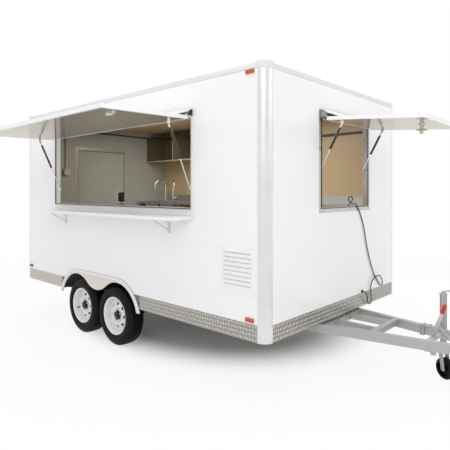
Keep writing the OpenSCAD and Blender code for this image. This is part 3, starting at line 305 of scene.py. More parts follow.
def lining_board():
    """Cabin lining in painted shade: tan for white in shade, grey at both ends, warmer along the sides and
    under the roof.
    """
    material, tree, bsdf = shader("lining")
    # Painted shade: the colour is set by how far the face turns along x
    ends = maths(tree, "ABSOLUTE", parts(tree, "Normal")[0])
    board = mixed(tree, ends, (0.6, 0.45, 0.26), (0.42, 0.42, 0.37))
    shade = ramp(tree, noise(tree, 2), (0.95, 0.95, 0.95), (1.0, 1.0, 1.0))
    product = tree.nodes.new("ShaderNodeVectorMath")
    product.operation = "MULTIPLY"
    tree.links.new(board, product.inputs[0])
    tree.links.new(shade, product.inputs[1])
    tint(tree, bsdf, product.outputs["Vector"])
    roughen(tree, bsdf, noise(tree, 18), 0.3, 0.42)
    return material


def underside():
    """Glossy white sheet under the open hatches, beige with a warm sheen: painted shade and painted warm
    reflection.
    """
    material, tree, bsdf = shader("hatch_skin")
    tint(tree, bsdf, ramp(tree, noise(tree, 1.5), (0.47, 0.435, 0.375), (0.5, 0.46, 0.4)))
    roughen(tree, bsdf, noise(tree, 14), 0.12, 0.16)
    # Painted warm reflection: part metallic, with a beige tint on the sheen
    bsdf.inputs["Metallic"].default_value = 0.45
    bsdf.inputs["Specular Tint"].default_value = (0.85, 0.8, 0.72, 1)
    return material


# Painted materials: [name, colour, share it varies by, range of roughness, scale, metal, coat, stretch]
PAINTS = [
    ["white_panel", (0.925, 0.925, 0.93), 0.006, (0.2, 0.26), 1.5, 0, 0.3],
    ["frame_beige", (0.5, 0.45, 0.36), 0.04, (0.25, 0.35), 8, 0.3],
    ["cabinet_tan", (0.42, 0.34, 0.22), 0.04, (0.4, 0.5), 8],
    ["cabinet_brown", (0.16, 0.115, 0.065), 0.06, (0.5, 0.6), 8],
    ["trim_brown", (0.05, 0.038, 0.025), 0.15, (0.4, 0.55), 30],
    ["bright_white", (0.9, 0.9, 0.9), 0.006, (0.28, 0.36), 6],
    # Beige of the mudguards' plate: painted warm reflection on polished metal
    ["guard_plate", (0.76, 0.7, 0.62), 0.02, (0.1, 0.16), 6, 0, 0.4],
    ["aluminium", (0.56, 0.565, 0.56), 0.05, (0.2, 0.32), 8, 0.95, 0, (1, 1, 0.1)],
    # Bars lighter than the plate around them: painted highlight on the raised bars
    ["checker_bar", (0.86, 0.84, 0.79), 0.04, (0.2, 0.3), 12, 0.5],
    # Dark grey of painted shade in gaps and joints
    ["gap_shade", (0.33, 0.34, 0.35), 0.1, (0.4, 0.55), 30],
    ["ivory", (0.78, 0.74, 0.63), 0.04, (0.3, 0.42), 40],
    ["white_plastic", (0.8, 0.79, 0.76), 0.02, (0.3, 0.42), 40],
    ["grey_cap", (0.33, 0.34, 0.34), 0.06, (0.35, 0.5), 40],
    ["zinc", (0.66, 0.63, 0.52), 0.08, (0.3, 0.45), 40, 0.8],
    ["lever", (0.6, 0.61, 0.6), 0.06, (0.3, 0.45), 40, 0.8],
    ["black_steel", (0.022, 0.022, 0.024), 0.2, (0.3, 0.45), 25],
    ["chrome_rod", (0.75, 0.75, 0.76), 0.03, (0.08, 0.15), 20, 1.0],
    ["stainless", (0.55, 0.54, 0.52), 0.04, (0.25, 0.4), 6, 0.9, 0, (0.1, 1, 1)],
    ["floor_ply", (0.2, 0.17, 0.14), 0.15, (0.5, 0.7), 8, 0, 0, (0.3, 1, 1)],
    ["liner", (0.02, 0.02, 0.02), 0.2, (0.6, 0.8), 30],
    ["box_plastic", (0.55, 0.53, 0.48), 0.03, (0.4, 0.5), 20],
    ["black_rubber", (0.02, 0.02, 0.021), 0.15, (0.5, 0.65), 60],
    ["red_grip", (0.6, 0.03, 0.025), 0.08, (0.3, 0.45), 40],
    ["black_plastic", (0.02, 0.02, 0.022), 0.2, (0.35, 0.5), 40],
]

M = {row[0]: painted(*row) for row in PAINTS} | {
    "hatch_skin": underside(),
    "lining": lining_board(),
    "edge_rail": roof_rail(),
    "post_metal": post_metal(),
    "checker_plate": skirt_plate(),
    "galvanised": galvanised(),
    "rim_white": rim_paint(),
    "tyre": rubber(),
    "amber_lens": lens("amber_lens", (0.6, 0.09, 0.02)),
    "red_lens": lens("red_lens", (0.4, 0.015, 0.015)),
}


# Nodes that look different from the others of their slot
NODE_LOOKS = {
    "corner_posts": "post_metal",
    "vent_louvre": "bright_white",
    "serving_window_frame": "bright_white",
    "door_frame": "frame_beige",
    "overhead_cabinet": "cabinet_brown",
}


def dress_nodes():
    """Each CAD node gets the material of its slot in the record, or its own look."""
    for part in frame["record"]["subparts"]:
        data = nodes[part["node"]].data
        data.materials.clear()
        data.materials.append(M[NODE_LOOKS.get(part["node"], part["material_slot"])])


# Pieces

# Edges bent by more degrees than this are shaded as sharp
SHARP = 32


class Shape:
    """A mesh put together from simple solids, in metres in the row frame."""

    def __init__(self, to=None):
        """Where to is given, it turns the coordinates that the solids are made in into the row frame's."""
        self.mesh = bmesh.new()
        self.to = to or (lambda v: v)

    def add(self, verts, faces):
        made = [self.mesh.verts.new(self.to(Vector(v))) for v in verts]
        for face in faces:
            self.mesh.faces.new([made[i] for i in face])

    def box(self, low, high):
        x, y, z = zip(low, high)
        verts = [(x[i], y[j], z[k]) for i in (0, 1) for j in (0, 1) for k in (0, 1)]
        self.add(verts, [(0, 1, 3, 2), (4, 6, 7, 5), (0, 4, 5, 1), (2, 3, 7, 6), (0, 2, 6, 4), (1, 5, 7, 3)])

    def rod(self, a, b, radius, sides, end_radius=None):
        """Cylinder, or cone, from a to b."""
        a, b = Vector(a), Vector(b)
        end_radius = radius if end_radius is None else end_radius
        along = (b - a).normalized()
        u = along.orthogonal().normalized()
        v = along.cross(u)
        ring = [math.tau * i / sides for i in range(sides)]
        verts = [p + r * (math.cos(t) * u + math.sin(t) * v)
                 for p, r in ((a, radius), (b, end_radius)) for t in ring]
        faces = [(i, (i + 1) % sides, sides + (i + 1) % sides, sides + i) for i in range(sides)]
        self.add(verts, faces + [tuple(reversed(range(sides))), tuple(range(sides, 2 * sides))])

    def prism(self, outline, x0, x1):
        """Outline of [y, z] points, stretched along x."""
        n = len(outline)
        verts = [(x, y, z) for x in (x0, x1) for y, z in outline]
        faces = [(i, (i + 1) % n, n + (i + 1) % n, n + i) for i in range(n)]
        self.add(verts, faces + [tuple(reversed(range(n))), tuple(range(n, 2 * n))])

    def turned(self, centre, axis, profile, sides):
        """Solid of revolution about an axis. The profile is a closed loop of [radius, height]."""
        axis = Vector(axis).normalized()
        u = axis.orthogonal().normalized()
        v = axis.cross(u)
        n = len(profile)
        verts = []
        for i in range(sides):
            t = math.tau * i / sides
            verts += [Vector(centre) + r * (math.cos(t) * u + math.sin(t) * v) + h * axis for r, h in profile]
        faces = [(i * n + k, i * n + (k + 1) % n, (i + 1) % sides * n + (k + 1) % n, (i + 1) % sides * n + k)
                 for i in range(sides) for k in range(n)]
        self.add(verts, faces)

    def finish(self, name, material, body="trailer", slot=None, smooth=True):
        bmesh.ops.recalc_face_normals(self.mesh, faces=self.mesh.faces)
        data = bpy.data.meshes.new(name)
        self.mesh.to_mesh(data)
        self.mesh.free()
        piece = add_object(name, data)
        data.materials.append(M[material])
        if smooth:
            data.shade_smooth()
            data.set_sharp_from_angle(angle=math.radians(SHARP))
        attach(piece, body)
        return piece


# Lead: its route repeats the part's source, in metres

LEAD_DIAMETER = 0.010
LEAD_POINTS = [
    (0.012, 0.377, 0.604), (0.030, 0.380, 0.600), (0.042, 0.395, 0.570), (0.034, 0.430, 0.515),
    (0.024, 0.470, 0.472), (0.020, 0.512, 0.456), (0.020, 0.545, 0.478), (0.018, 0.552, 0.520),
    (0.016, 0.543, 0.590), (0.016, 0.560, 0.660), (0.024, 0.610, 0.706), (0.032, 0.672, 0.722),
    (0.030, 0.740, 0.712), (0.024, 0.800, 0.670), (0.020, 0.822, 0.625), (0.016, 0.805, 0.603),
    (0.012, 0.760, 0.625), (0.010, 0.700, 0.680), (0.010, 0.640, 0.740), (0.010, 0.575, 0.835),
    (0.010, 0.493, 0.990), (0.010, 0.443, 1.120), (0.010, 0.415, 1.210), (0.009, 0.370, 1.310),
    (0.009, 0.310, 1.400), (0.009, 0.262, 1.458), (0.002, 0.237, 1.480), (-0.014, 0.204, 1.488),
    (-0.026, 0.170, 1.502), (-0.032, 0.157, 1.524), (-0.036, 0.180, 1.547), (-0.040, 0.222, 1.555),
    (-0.046, 0.264, 1.543), (-0.052, 0.278, 1.518), (-0.060, 0.259, 1.492), (-0.072, 0.232, 1.468),
    (-0.084, 0.212, 1.400), (-0.084, 0.203, 1.280), (-0.084, 0.200, 1.100), (-0.084, 0.200, 0.950),
    (-0.084, 0.200, 0.820), (-0.084, 0.200, 0.700),
]


def smoothed(points, steps):
    """Catmull-Rom curve through the points."""
    out = []
    for i in range(len(points) - 1):
        a, b, c, d = (Vector(points[min(max(i + k, 0), len(points) - 1)]) for k in (-1, 0, 1, 2))
        for j in range(steps):
            t = j / steps
            out.append(0.5 * (2 * b + (c - a) * t + (2 * a - 5 * b + 4 * c - d) * t * t
                              + (3 * b - a - 3 * c + d) * t ** 3))
    return out + [Vector(points[-1])]


def add_lead():
    path = smoothed([place(*p) for p in LEAD_POINTS], 6)
    data = bpy.data.curves.new("lead_cable", "CURVE")
    data.dimensions = "3D"
    data.bevel_depth = LEAD_DIAMETER / 2
    data.bevel_resolution = 3
    data.use_fill_caps = True
    spline = data.splines.new("POLY")
    spline.points.add(len(path) - 1)
    for point, at in zip(spline.points, path):
        point.co = (*at, 1)
    lead = add_object("lead_cable", data)
    data.materials.append(M["black_rubber"])
    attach(lead, "trailer")
    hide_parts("lead")


# Tyres with a cut tread, in place of the plain CAD ones

WHEELS = [(axle, side, sign) for axle in ("front", "rear") for side, sign in (("near", -1), ("far", 1))]
TYRE_RADIUS = 0.3075
TYRE_WIDTH = 0.185
TREAD_HALF = 0.066
GROOVES = (-0.042, -0.014, 0.014, 0.042)
GROOVE_HALF = 0.0035
GROOVE_DEPTH = 0.007
GROOVE_SLOPE = 0.0008
# Drop of the tread from its middle to its edge
CROWN = 0.0045
SIPES = 60
# Rings of one sipe as shares of its pitch: the first two on the tread, the others on the cut's floor
SIPE_AT = (0.0, 0.84, 0.88, 0.96)
SIPE_FLOOR = (2, 3)
SIPE_DEPTH = 0.005
# Sipes cut only the tyre's shoulders: outside this radius and this distance from the tyre's middle
SHOULDER_RADIUS = 0.297
SHOULDER = 0.044


def tyre_profile():
    """Closed loop of [radius, width] round the tyre's section."""
    r, w = TYRE_RADIUS, TYRE_WIDTH / 2
    outer = [(0.1840, -0.052), (0.1965, -0.066), (0.2000, -0.0795), (0.2080, -0.0860), (0.2220, -w + 0.0025),
             (0.2400, -w), (0.2600, -w + 0.0015), (0.2640, -w + 0.0035), (0.2780, -w + 0.0105),
             (0.2900, -w + 0.0175), (0.2990, -TREAD_HALF - 0.002), (0.3030, -TREAD_HALF + 0.003)]
    tread = []
    for g in GROOVES:
        lift = r - CROWN * (g / TREAD_HALF) ** 2
        tread += [(lift, g - GROOVE_HALF), (lift - GROOVE_DEPTH, g - GROOVE_HALF + GROOVE_SLOPE),
                  (lift - GROOVE_DEPTH, g + GROOVE_HALF - GROOVE_SLOPE), (lift, g + GROOVE_HALF)]
    mirrored = [(a, -b) for a, b in reversed(outer)]
    return outer + tread + mirrored


def add_tyre_rings(tyre, centre):
    profile = tyre_profile()
    n = len(profile)
    rings = [(k + at, i in SIPE_FLOOR) for k in range(SIPES) for i, at in enumerate(SIPE_AT)]
    verts = []
    for turn, cut in rings:
        t = math.tau * turn / SIPES
        for r, w in profile:
            depth = SIPE_DEPTH if cut and r > SHOULDER_RADIUS and abs(w) > SHOULDER else 0
            verts.append(centre + Vector(((r - depth) * math.sin(t), w, (r - depth) * math.cos(t))))
    m = len(rings)
    tyre.add(verts, [(i * n + k, i * n + (k + 1) % n, (i + 1) % m * n + (k + 1) % n, (i + 1) % m * n + k)
                     for i in range(m) for k in range(n)])


def add_tyres():
    for axle, side, _ in WHEELS:
        node = f"tyre_{axle}_{side}"
        low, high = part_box(node)
        tyre = Shape()
        add_tyre_rings(tyre, (low + high) / 2)
        piece = tyre.finish(f"tread_{axle}_{side}", "tyre", f"wheel_{axle}_{side}")
        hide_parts(node)


# Checker plate: raised bars on the skirt, every second one turned the other way, lighter than the plate for a
# painted highlight

BAR_PITCH = 0.03
BAR_HALF = (0.0145, 0.004)
BAR_HEIGHT = 0.0025
BAR_TURN = 45
SKIRT_LOW = 0.454
SKIRT_HIGH = 0.589
# How far a corner post's faces reach along the walls
POST_REACH = 0.084
# Both mudguards: their middle and half of their length
ARCH_MIDDLE = -2.305
ARCH_HALF = 0.775


def bar(shape, centre, along, up, out, turn):
    """One raised bar: a long diamond with a ridge."""
    a = math.cos(turn) * along + math.sin(turn) * up
    b = math.cos(turn) * up - math.sin(turn) * along
    half, width = BAR_HALF
    verts = [centre - half * a, centre - width * b, centre + half * a, centre + width * b,
             centre - 0.5 * half * a + BAR_HEIGHT * out, centre + 0.5 * half * a + BAR_HEIGHT * out]
    shape.add(verts, [(0, 1, 5, 4), (1, 2, 5), (2, 3, 4, 5), (3, 0, 4)])


def checker(shape, start, along, out, length):
    """Bars over a strip of the skirt that starts at its lower corner."""
    up = Vector((0, 0, 1))
    height = SKIRT_HIGH - SKIRT_LOW
    across = int(length / BAR_PITCH)
    rows = int(height / BAR_PITCH)
    for i in range(across):
        for j in range(rows):
            at = start + (i + 0.5) * length / across * along + (j + 0.5) * height / rows * up
            bar(shape, at, along, up, out, math.radians(BAR_TURN if (i + j) % 2 else -BAR_TURN))


def add_checker_plate():
    plate = Shape()
    x, y = Vector((1, 0, 0)), Vector((0, 1, 0))
    for side in (-1, 1):
        for rear, front in ((-BODY_LENGTH + POST_REACH, ARCH_MIDDLE - ARCH_HALF),
                            (ARCH_MIDDLE + ARCH_HALF, -POST_REACH)):
            checker(plate, place(rear, side * HALF_WIDTH, SKIRT_LOW), x, side * y, front - rear)
    for end, out in ((0.0, x), (-BODY_LENGTH, -x)):
        checker(plate, place(end, -HALF_WIDTH + POST_REACH, SKIRT_LOW), y, out, 2 * (HALF_WIDTH - POST_REACH))
    plate.finish("skirt_bars", "checker_bar", slot="checker_plate", smooth=False)


# Mudguards: the rolled bead along the outer edge and the glossy plate on the dip between the arches, its
# beige a painted warm reflection

# Each arch's centre: its distance from the guards' middle and its height
ARCH_OFFSET = 0.39
ARCH_HEIGHT = 0.32
GUARD_FOOT = 0.415
# The bead: radius of its line over an arch, its own radius, the share of that by which it lies inside the
# guard's edge, and its steps
BEAD_LINE = 0.377
BEAD = 0.012
BEAD_SUNK = 0.45
BEAD_STEPS = 16
# The plate: its top, the radius of its arcs, the height and radius of the dip's circle, half the dip's
# length, the plate's faces beyond the guard's edge, and its steps
PLATE_TOP = 0.685
PLATE_ARC = 0.345
DIP = (0.84, 0.305)
DIP_HALF = 0.183
PLATE_FACES = (0.0001, 0.0006)
PLATE_STEPS = 26


def bead_line():
    """Points [along, height] of the bead, from one foot over both arches to the other."""
    start = math.asin((GUARD_FOOT - ARCH_HEIGHT) / BEAD_LINE)
    arc = [start + (math.pi / 2 - start) * i / BEAD_STEPS for i in range(BEAD_STEPS + 1)]
    near = [(ARCH_OFFSET + BEAD_LINE * math.cos(t), ARCH_HEIGHT + BEAD_LINE * math.sin(t)) for t in arc]
    return near + [(-x, z) for x, z in reversed(near)]


def plate_outline():
    """Outline [along, height] of the plate: straight on top, on both arches' arcs and the dip below."""
    middle, radius = DIP
    below = []
    for i in range(PLATE_STEPS + 1):
        x = ARCH_OFFSET * (2 * i / PLATE_STEPS - 1)
        if abs(x) < DIP_HALF:
            z = middle - math.sqrt(radius ** 2 - x ** 2)
        else:
            z = ARCH_HEIGHT + math.sqrt(PLATE_ARC ** 2 - (ARCH_OFFSET - abs(x)) ** 2)
        below.append((x, z))
    return [(-ARCH_OFFSET, PLATE_TOP)] + below + [(ARCH_OFFSET, PLATE_TOP)]


def add_mudguard_dressing():
    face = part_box("mudguards")[1].y
    bead = Shape()
    for side in (-1, 1):
        line = [place(ARCH_MIDDLE + x, side * (face - BEAD * BEAD_SUNK), z) for x, z in bead_line()]
        for a, b in zip(line, line[1:]):
            bead.rod(a, b, BEAD, 14)
    bead.finish("mudguard_beads", "bright_white", slot="edge_rail")
    plate = Shape(lambda v: place(ARCH_MIDDLE + v.y, v.x, v.z))
    inner, outer = PLATE_FACES
    for side in (-1, 1):
        plate.prism(plate_outline(), side * (face + inner), side * (face + outer))
    plate.finish("mudguard_plates", "guard_plate", slot="edge_rail", smooth=False)


# Wheels: studs, dust cap and valve on each rim

STUDS = 5
STUD_CIRCLE = 0.057
# Share of a stud's pitch by which the first one is turned
STUD_TURN = 0.35
# Depths are measured outwards from the rim's middle
DISC_FACE = 0.034
# A nut with its washer and the stud's tip: [from, to, radius, sides, end radius], measured from the disc
NUT = [(0, 0.003, 0.0115, 20, None), (0.002, 0.015, 0.0095, 6, None), (0.014, 0.02, 0.006, 12, 0.005)]
# Angle of each valve in degrees, by axle and side
VALVES = {("front", "near"): 20, ("rear", "near"): 200, ("front", "far"): 130, ("rear", "far"): 300}
# Radius and depth of a valve's foot
VALVE_FOOT = (0.15, 0.024)
HUB_RING = [(0.0292, DISC_FACE + 0.0005), (0.0478, DISC_FACE + 0.0005), (0.0478, 0.0445), (0.0455, 0.048),
            (0.034, 0.0485), (0.0292, 0.047)]
HUB_CAP = [(0.0005, 0.0485), (0.0298, 0.0475), (0.0298, 0.061), (0.0275, 0.0645), (0.0235, 0.0655),
           (0.0225, 0.0642), (0.0005, 0.0642)]


def add_wheel_fittings():
    for axle, side, sign in WHEELS:
        low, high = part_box(f"rim_{axle}_{side}")
        centre = (low + high) / 2
        out = Vector((0, sign, 0))
        body = f"wheel_{axle}_{side}"
        nuts = Shape()
        for i in range(STUDS):
            t = math.tau * (i + STUD_TURN) / STUDS
            foot = centre + STUD_CIRCLE * Vector((math.cos(t), 0, math.sin(t))) + DISC_FACE * out
            for start, end, radius, sides, tip in NUT:
                nuts.rod(foot + start * out, foot + end * out, radius, sides, tip)
        nuts.finish(f"nuts_{axle}_{side}", "zinc", body)
        hub = Shape()
        hub.turned(centre, out, HUB_RING, 40)
        hub.turned(centre, out, HUB_CAP, 40)
        hub.finish(f"hub_{axle}_{side}", "black_plastic", body, "black_rubber")
        valve = Shape()
        t = math.radians(VALVES[axle, side])
        away = Vector((math.cos(t), 0, math.sin(t)))
        foot = centre + VALVE_FOOT[0] * away + VALVE_FOOT[1] * out
        neck = foot + 0.026 * out + 0.004 * away
        valve.rod(foot, foot + 0.006 * out, 0.008, 14)
        valve.rod(foot, neck, 0.005, 12)
        valve.rod(neck, foot + 0.036 * out + 0.006 * away, 0.0042, 12)
        valve.finish(f"valve_{axle}_{side}", "black_rubber", body)


# Window seals beside and below each opening, and a pale stop at the serving window's front edge

SEAL = 0.007
SEAL_THICK = 0.012
# The front window's seal: width and thickness
FRONT_SEAL = (0.006, 0.005)
SEAL_TOP = 2.245
# The window frames' flanges: width and thickness
FLANGE = 0.042
FLANGE_THICK = 0.0021


def add_seals():
    low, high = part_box("serving_window_frame")
    x0, x1 = low.x + FLANGE, high.x - FLANGE
    z0, z1 = low.z + FLANGE, place(0, 0, SEAL_TOP).z
    y = -HALF_WIDTH - FLANGE_THICK
    seal = Shape()
    for a, b in (((x0 - SEAL, z0 - SEAL), (x0, z1)), ((x0, z0 - SEAL), (x1, z0))):
        seal.box((a[0], y - SEAL_THICK, a[1]), (b[0], y, b[1]))
    seal.finish("serving_window_seal", "black_rubber")
    stop = Shape()
    stop.box((x1, y - SEAL_THICK, z0 - SEAL), (x1 + SEAL, y, z1))
    stop.finish("serving_window_stop", "ivory", slot="box_plastic")
    low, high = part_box("front_window_frame")
    y0, y1 = low.y + FLANGE, high.y - FLANGE
    x = place(0, 0, 0).x + FLANGE_THICK
    seal = Shape()
    wide, deep = FRONT_SEAL
    for a, b in (((y0 - wide, z0 - wide), (y0, z1)), ((y1, z0 - wide), (y1 + wide, z1)),
                 ((y0, z0 - wide), (y1, z0))):
        seal.box((x, *a), (x + deep, *b))
    seal.finish("front_window_seal", "black_rubber")


# Hatches. A hatch's own frame: x along the hinge line, y out from the wall, z up from the hinge line.
# on_awning and on_hatch turn a point of the hanging hatch into the row frame, with the hatch open.

HINGE_HEIGHT = 2.26
HINGE_OUT = 0.052
AWNING_ANGLE = 89
AWNING_MIDDLE = -2.003
AWNING_WIDTH = 2.4
AWNING_REACH = 0.85
HATCH_ANGLE = 85.5
HATCH_MIDDLE = 0.051
HATCH_WIDTH = 0.908
HATCH_REACH = 0.84
LAP = 0.008


def swung(v, angle):
    t = math.radians(angle)
    return v.x, v.y * math.cos(t) - v.z * math.sin(t), v.y * math.sin(t) + v.z * math.cos(t)


def by_serving(v, angle=0):
    x, y, z = swung(v, angle)
    return place(AWNING_MIDDLE + x, -HALF_WIDTH - HINGE_OUT - y, HINGE_HEIGHT + z)


def by_front(v, angle=0):
    x, y, z = swung(v, angle)
    return place(HINGE_OUT + y, HATCH_MIDDLE - x, HINGE_HEIGHT + z)


def on_awning(v):
    return by_serving(v, AWNING_ANGLE)


def on_hatch(v):
    return by_front(v, HATCH_ANGLE)


# The sheet in the shallow recess of each hatch's underside: its distance from the leaf's edges and from
# the hinge line, and its two faces
BORDER = 0.029
SKIN_START = 0.035
SKIN_FACES = (-0.0355, -0.0342)


def add_hatch_skins():
    for name, to, width, reach, body in (("awning_skin", on_awning, AWNING_WIDTH, AWNING_REACH, "awning"),
                                         ("hatch_skin", on_hatch, HATCH_WIDTH, HATCH_REACH, "front_hatch")):
        half = width / 2 + LAP - BORDER
        outer, inner = SKIN_FACES
        skin = Shape(to)
        skin.box((-half, outer, -reach + BORDER), (half, inner, -SKIN_START))
        # The sheet carries the painted shade and painted warm reflection of the hatch's underside
        skin.finish(name, "hatch_skin", body, "white_panel")


# Caps on the hinge rails' ends: outline [out, up], clearance and thickness
RAIL_END = [(-0.05, -0.0035), (0.008, -0.0035), (0.0095, 0.003), (0.0065, 0.009), (-0.019, 0.0435),
            (-0.05, 0.057)]
CAP_GAP = 0.0002
CAP = 0.003


def add_rail_caps():
    for name, to, width, material in (("serving_rail", by_serving, AWNING_WIDTH, "black_plastic"),
                                      ("front_rail", by_front, HATCH_WIDTH, "grey_cap")):
        caps = Shape(to)
        for side in (-1, 1):
            end = side * (width / 2 + LAP + CAP_GAP)
            caps.prism(RAIL_END, end, end + side * CAP)
        caps.finish(name + "_caps", material, slot="black_rubber")


# The awning's latch in the hatch's frame: base, housing and turned tongue
LATCH_BOXES = [((1.04, -0.041, -0.70), (1.115, -0.0345, -0.66)),
               ((1.046, -0.053, -0.693), (1.109, -0.0405, -0.667)),
               ((1.064, -0.066, -0.72), (1.118, -0.0525, -0.694))]
LATCH_PIN = ((1.078, -0.053, -0.69), (1.078, -0.064, -0.69))
# The front hatch's handle: base, stem, grip and knob, in that hatch's frame
HANDLE_BASE = ((0, -0.0345, -0.65), (0, -0.043, -0.65))
HANDLE_STEM = ((-0.013, -0.0765, -0.663), (0.013, -0.042, -0.637))
HANDLE_GRIP = ((0, -0.085, -0.692), (0, -0.085, -0.608))
HANDLE_KNOB = ((-0.012, -0.118, -0.662), (0.012, -0.09, -0.638))


def add_awning_latch():
    """Turn latch under the awning near its outer corner."""
    latch = Shape(on_awning)
    for low, high in LATCH_BOXES:
        latch.box(low, high)
    latch.rod(*LATCH_PIN, 0.009, 20)
    latch.finish("awning_latch", "white_plastic", "awning", "box_plastic")


def add_hatch_handle():
    """T-handle that hangs under the front hatch."""
    handle = Shape(on_hatch)
    handle.rod(*HANDLE_BASE, 0.028, 28, 0.025)
    handle.box(*HANDLE_STEM)
    handle.rod(*HANDLE_GRIP, 0.0085, 16)
    handle.box(*HANDLE_KNOB)
    handle.finish("hatch_handle", "zinc", "front_hatch")


# Struts: [name, hinge frame, body of the cylinders, hatch's width, pin, eye, angle]. The pin is given as
# [down the leaf, inwards] and the eye as [out, up] from the hinge line, both as in the part's source.
STRUTS = [
    ["awning", by_serving, "awning_cylinders", AWNING_WIDTH, (0.176, 0.072), (-0.082, -0.635), AWNING_ANGLE],
    ["hatch", by_front, "front_hatch_cylinders", HATCH_WIDTH, (0.127, 0.056), (-0.079, -0.437), HATCH_ANGLE],
]
STRUT_INSET = 0.05
# A socket along its strut: [from, to, radius, end radius]. And the eye across it: half its length, radius.
SOCKET = [(0.008, 0.04, 0.0078, 0.0078), (0.039, 0.0448, 0.0078, 0.0098)]
SOCKET_EYE = (0.0063, 0.0103)


def add_strut_ends():
    """Pale sockets on the heads of the gas struts."""
    for name, to, body, width, pin, eye, angle in STRUTS:
        t = math.radians(angle)
        down, inward = pin
        cos, sin = math.cos(t), math.sin(t)
        head = Vector((0, down * sin - inward * cos, -inward * sin - down * cos))
        along = (Vector((0, *eye)) - head).normalized()
        half = Vector((SOCKET_EYE[0], 0, 0))
        ends = Shape(to)
        for side in (-1, 1):
            at = head + Vector((side * (width / 2 - STRUT_INSET), 0, 0))
            for start, end, radius, tip in SOCKET:
                ends.rod(at + start * along, at + end * along, radius, 18, tip)
            ends.rod(at - half, at + half, SOCKET_EYE[1], 22)
        ends.finish(f"{name}_strut_ends", "ivory", body, "box_plastic")


# Inside: thin lining sheets on the walls, under the roof and on the door

SHEET = 0.0004
# The walls' inner faces lie this far inside their outer ones, the door's inner face a little behind
INNER = 0.05
DOOR_BEHIND = 0.002
ROOF_UNDER = 2.543
SILL = 1.457
WINDOW_TOP = 2.248
FLOOR_TOP = 0.589
# Top of the wheel boxes, where the side walls' sheets start
BOX_TOP = 0.673
# Holes for the windows, along x in the serving side and along y in the front wall
SERVING_HOLE = (-3.203, -0.803)
FRONT_HOLE = (-0.403, 0.505)
# Door frame: from and to along y, and its top. Door leaf: the same with its bottom before the top
DOOR_FRAME = (-0.527, 0.353, 2.245)
DOOR_LEAF = (-0.475, 0.301, 0.597, 2.193)


def sheet_round(shape, make, low, high, hole_low, hole_high):
    """Sheet from low to high with a hole, as four boxes. make turns two corners [along, up] into a box."""
    for a, b in ((low, (high[0], hole_low[1])), ((low[0], hole_high[1]), high),
                 ((low[0], hole_low[1]), (hole_low[0], hole_high[1])),
                 ((hole_high[0], hole_low[1]), (high[0], hole_high[1]))):
        if b[0] - a[0] > 0.001 and b[1] - a[1] > 0.001:
            shape.box(*make(a, b))


def add_lining():
    rear, front, side = -BODY_LENGTH + INNER, -INNER, HALF_WIDTH - INNER
    lining = Shape()
    lining.box(place(rear, -side, ROOF_UNDER - SHEET), place(front, side, ROOF_UNDER))
    top = ROOF_UNDER - SHEET
    sheet_round(lining, lambda a, b: (place(a[0], -side, a[1]), place(b[0], -side + SHEET, b[1])),
                (rear, BOX_TOP), (front, top), (SERVING_HOLE[0], SILL), (SERVING_HOLE[1], WINDOW_TOP))
    lining.box(place(rear, side - SHEET, BOX_TOP), place(front, side, top))
    sheet_round(lining, lambda a, b: (place(front - SHEET, a[0], a[1]), place(front, b[0], b[1])),
                (-side, FLOOR_TOP), (side, top), (FRONT_HOLE[0], SILL), (FRONT_HOLE[1], WINDOW_TOP))
    sheet_round(lining, lambda a, b: (place(rear, a[0], a[1]), place(rear + SHEET, b[0], b[1])),
                (-side, FLOOR_TOP), (side, top), (DOOR_FRAME[0], FLOOR_TOP), DOOR_FRAME[1:])
    lining.finish("lining", "lining", slot="white_panel", smooth=False)
    leaf = Shape()
    y0, y1, bottom, top = DOOR_LEAF
    leaf.box(place(rear - DOOR_BEHIND, y0, bottom), place(rear - DOOR_BEHIND + SHEET, y1, top))
    leaf.finish("door_lining", "lining", "entry_door", "white_panel", smooth=False)


# Overhead cabinet: its front's distance from the centre line, the bottom and top of its bays, and their
# start, pitch and number. Then the room round a bay's back, the depths of that back's faces inside the wall
# and of an edging's faces, and the boards' thickness.
CABINET = (0.75, 2.088, 2.477)
CABINET_START = -3.945
CABINET_PITCH = 0.65167
CABINET_BAYS = 3
BACK_ROOM = (0.006, 0.012)
BACK_FACES = (0.0038, 0.0034)
EDGING_FACES = (0.0006, 0.0001)
BOARD = 0.012
# Trunking: from, to, bottom and top along the far wall, and bottom and top along the rear wall
WALL_TRUNKING = (-1.98, -0.052, 2.288, 2.313)
REAR_TRUNKING = (2.462, 2.48)
# The strip on the serving window's sill, as two corners
SILL_STRIP = ((-3.198, -1.1985, 1.4603), (-0.808, -1.152, 1.4618))


